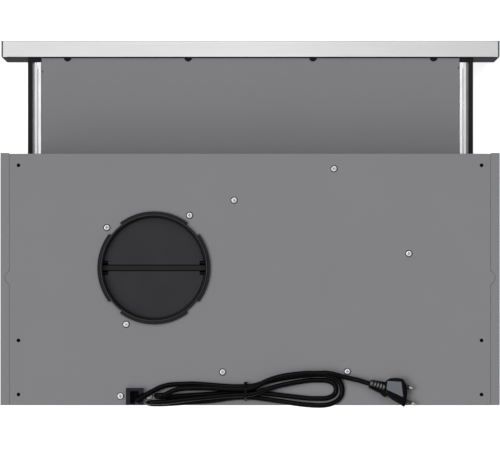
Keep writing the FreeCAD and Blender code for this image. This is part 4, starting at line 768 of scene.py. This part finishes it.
mesh_anodised = anodised("anodised_expanded_mesh", "8e8f92", "a6a7aa", 0.38)
for side in ("left", "right"):
    low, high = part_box("filter_mesh_" + side)
    latch_low, latch_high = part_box("filter_latch_" + side)
    rows = int((high[1] - low[1]) / diamond_width)
    mesh_form = bmesh.new()
    for layer, height in enumerate(layer_heights):
        for row in range(rows):
            y = low[1] + (row + 0.5) * (high[1] - low[1]) / rows
            spans = [(low[0], high[0])]
            if y - diamond_width / 2 < latch_rear:
                spans = [(low[0], latch_low[0] - latch_room), (latch_high[0] + latch_room, high[0])]
            for x0, x1 in spans:
                expanded_strand(mesh_form, x0, x1, y, height, row + layer)
    expanded_mesh = piece_of("expanded_mesh_" + side, mesh_form, "hood")
    wear(mesh_anodised, expanded_mesh)
    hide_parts("filter_mesh_" + side)
wear(anodised("anodised_aluminium_frame", "a2a3a6", "b8b9bc", 0.42),
     part["filter_frame_left"], part["filter_frame_right"])
wear(moulded("moulded_latch_nylon", "2a2a2d", "343437", 0.0009, 0.45, 0.4),
     part["filter_latch_left"], part["filter_latch_right"])

# Lamps: two round spot lamps pushed up into the base, each a plated steel can with a rolled
# ring, closed by a lens of frosted glass.
wear(bright_metal("plated_lamp_ring", "c8c9cc", "e2e3e5", 0.0005, 0.0005, 0.2),
     part["lamp_body_left"], part["lamp_body_right"])


def frosted_glass(name, middle_x, middle_y):
    # Frosted glass: moulded with rings 2.5 mm apart that spread the lamp's light, milky and soft
    material, tree, surface, place = finish_of(name)
    centred = add(tree, "ShaderNodeVectorMath", {0: place, 1: (middle_x, middle_y, 0.0)},
                  operation="SUBTRACT")
    rings = add(tree, "ShaderNodeTexWave", {"Vector": centred.outputs["Vector"], "Scale": 1 / 0.008},
                wave_type="RINGS", rings_direction="Z")
    frost = add(tree, "ShaderNodeTexNoise", {"Vector": place, "Scale": 1 / 0.0006,
                                             "Detail": 3.0}).outputs["Fac"]
    bump = add(tree, "ShaderNodeBump", {"Height": rings.outputs["Fac"], "Strength": 0.5,
                                        "Distance": 0.0003})
    tone = add(tree, "ShaderNodeMix", {0: frost, 6: linear("d4d7d8"), 7: linear("e4e7e8")}, data_type="RGBA")
    feed(tree, surface, {"Base Color": tone.outputs[2], "Roughness": 0.35, "Transmission Weight": 0.35,
                         "Normal": bump.outputs["Normal"]})
    return material


for side in ("left", "right"):
    low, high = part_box("lamp_lens_" + side)
    wear(frosted_glass("frosted_glass_" + side, (low[0] + high[0]) / 2, (low[1] + high[1]) / 2),
         part["lamp_lens_" + side])

# Slide switches: moulded bodies above the base plate with sliders below it, fan speed at the left
# and lamp at the right. Plain bars and a ring are printed beside them on the base.
wear(housing_abs, part["speed_switch"], part["light_switch"])
wear(moulded("moulded_slider_abs", "202022", "2b2b2d", 0.0008, 0.4, 0.4),
     part["speed_slider"], part["light_slider"])
mark_base = 10.02
mark_face = 9.92
mark_chamfer = 0.03
mark_y = -74.0
bar_width = 0.9
bar_length = 4.2
bar_round = 0.4
bar_pitch = 1.8
ring_inner = 1.4
ring_outer = 2.1
speed_places = ((-137.0, 0), (-129.0, 1), (-121.0, 2), (-113.0, 3))
light_places = ((114.0, 0), (122.0, 1))
mark_form = bmesh.new()
for x, bars in speed_places + light_places:
    for i in range(bars):
        bar_x = x + (i - (bars - 1) / 2) * bar_pitch
        outline = [(bar_x + a * bar_width / 2, mark_y + b * bar_length / 2) for a, b in square_corners]
        thin_plate(mark_form, rounded_outline(outline, bar_round, steps=3),
                   mark_face, mark_base, mark_chamfer)
    if bars == 0:
        lathe(mark_form, (x / 1000, mark_y / 1000),
              [(radius / 1000, height / 1000) for radius, height in (
                  (ring_inner, mark_face), (ring_outer, mark_face), (ring_outer, mark_base),
                  (ring_inner, mark_base))], steps=28)
switch_marks = piece_of("switch_marks", mark_form, "hood")
wear(moulded("printed_white_ink", "dcdcdc", "e6e6e6", 0.0005, 0.6, 0.3), switch_marks)

# Stage: white table under plain soft studio light, clear when seen from underneath, camera high
# overhead with a long lens so that upright walls are seen edge on.
table_half = 30.0
table_z = -0.001
table_glow = 0.84
sheet_mesh = bpy.data.meshes.new("white_table")
sheet_mesh.from_pydata([(a * table_half, b * table_half, table_z) for a, b in square_corners], [],
                       [(0, 1, 2, 3)])
white_table = bpy.data.objects.new("white_table", sheet_mesh)
bpy.context.scene.collection.objects.link(white_table)
table_paint, tree, surface, _ = finish_of("white_table_paint")
# It glows for the camera and in mirrors only, so that it shows white and adds no light
seen = add(tree, "ShaderNodeLightPath")
bright = add(tree, "ShaderNodeMath", {0: seen.outputs["Is Camera Ray"], 1: seen.outputs["Is Glossy Ray"]},
             operation="MAXIMUM")
glow = add(tree, "ShaderNodeMath", {0: bright.outputs[0], 1: table_glow}, operation="MULTIPLY")
feed(tree, surface, {"Base Color": (0.75, 0.75, 0.75, 1.0), "Roughness": 0.9, "Specular IOR Level": 0.0,
                     "Emission Color": (1.0, 1.0, 1.0, 1.0), "Emission Strength": glow.outputs[0]})
from_under = add(tree, "ShaderNodeNewGeometry").outputs["Backfacing"]
clear = add(tree, "ShaderNodeBsdfTransparent")
both_sides = add(tree, "ShaderNodeMixShader", {0: from_under, 1: surface.outputs["BSDF"],
                                               2: clear.outputs["BSDF"]})
feed(tree, tree.nodes["Material Output"], {"Surface": both_sides.outputs["Shader"]})
wear(table_paint, white_table)

room_light = 0.18
room_mirrored = 0.40
world = bpy.data.worlds.new("studio")
bpy.context.scene.world = world
world.use_nodes = True
tree = world.node_tree
tree.nodes.clear()
# The room is white to the camera and through glass, dimmer in mirrors, and lights the hood faintly
seen = add(tree, "ShaderNodeLightPath")
mirrored = add(tree, "ShaderNodeMath", {0: seen.outputs["Is Glossy Ray"], 1: room_mirrored},
               operation="MULTIPLY")
through = add(tree, "ShaderNodeMath", {0: seen.outputs["Is Transmission Ray"], 1: mirrored.outputs[0]},
              operation="MAXIMUM")
direct = add(tree, "ShaderNodeMath", {0: seen.outputs["Is Camera Ray"], 1: through.outputs[0]},
             operation="MAXIMUM")
strength = add(tree, "ShaderNodeMapRange", {"Value": direct.outputs[0], "To Min": room_light, "To Max": 1.0})
sky = add(tree, "ShaderNodeBackground", {"Color": (1.0, 1.0, 1.0, 1.0),
                                         "Strength": strength.outputs["Result"]})
add(tree, "ShaderNodeOutputWorld", {"Surface": sky.outputs["Background"]})


def soft_box(name, towards, level, spread):
    # A far lamp, given by the way to it, the share of white it puts on a facing surface, and how
    # wide it looks from the table, in degrees
    lamp = bpy.data.lights.new(name, "SUN")
    lamp.energy = math.pi * level
    lamp.angle = math.radians(spread)
    holder = bpy.data.objects.new(name, lamp)
    holder.rotation_euler = Vector(towards).to_track_quat("Z", "Y").to_euler()
    bpy.context.scene.collection.objects.link(holder)


soft_box("side_softbox", (0.56, 0.08, 0.82), 0.33, 30.0)
soft_box("rear_softbox", (0.26, 0.48, 0.84), 0.11, 30.0)
soft_box("front_softbox", (-0.10, -0.45, 0.89), 0.28, 45.0)
soft_box("key_softbox", (0.32, -0.10, 0.94), 0.10, 5.0)

# The camera stands a little to one side and looks back at the middle of the hood
camera_height = 24.0
camera_side = -0.10
camera_rear = 0.0031
view_width = 0.59875
lens_sensor = 36.0
eye = bpy.data.cameras.new("overhead_camera")
eye.sensor_width = lens_sensor
eye.lens = lens_sensor * camera_height / view_width
eye.clip_start = 1.0
eye.clip_end = 60.0
camera = bpy.data.objects.new("overhead_camera", eye)
camera.location = (camera_side, camera_rear, plate_top + camera_height)
camera.rotation_euler = (0, math.atan(-camera_side / camera_height), math.pi)
bpy.context.scene.collection.objects.link(camera)
bpy.context.scene.camera = camera

bpy.context.scene.view_settings.view_transform = "Standard"
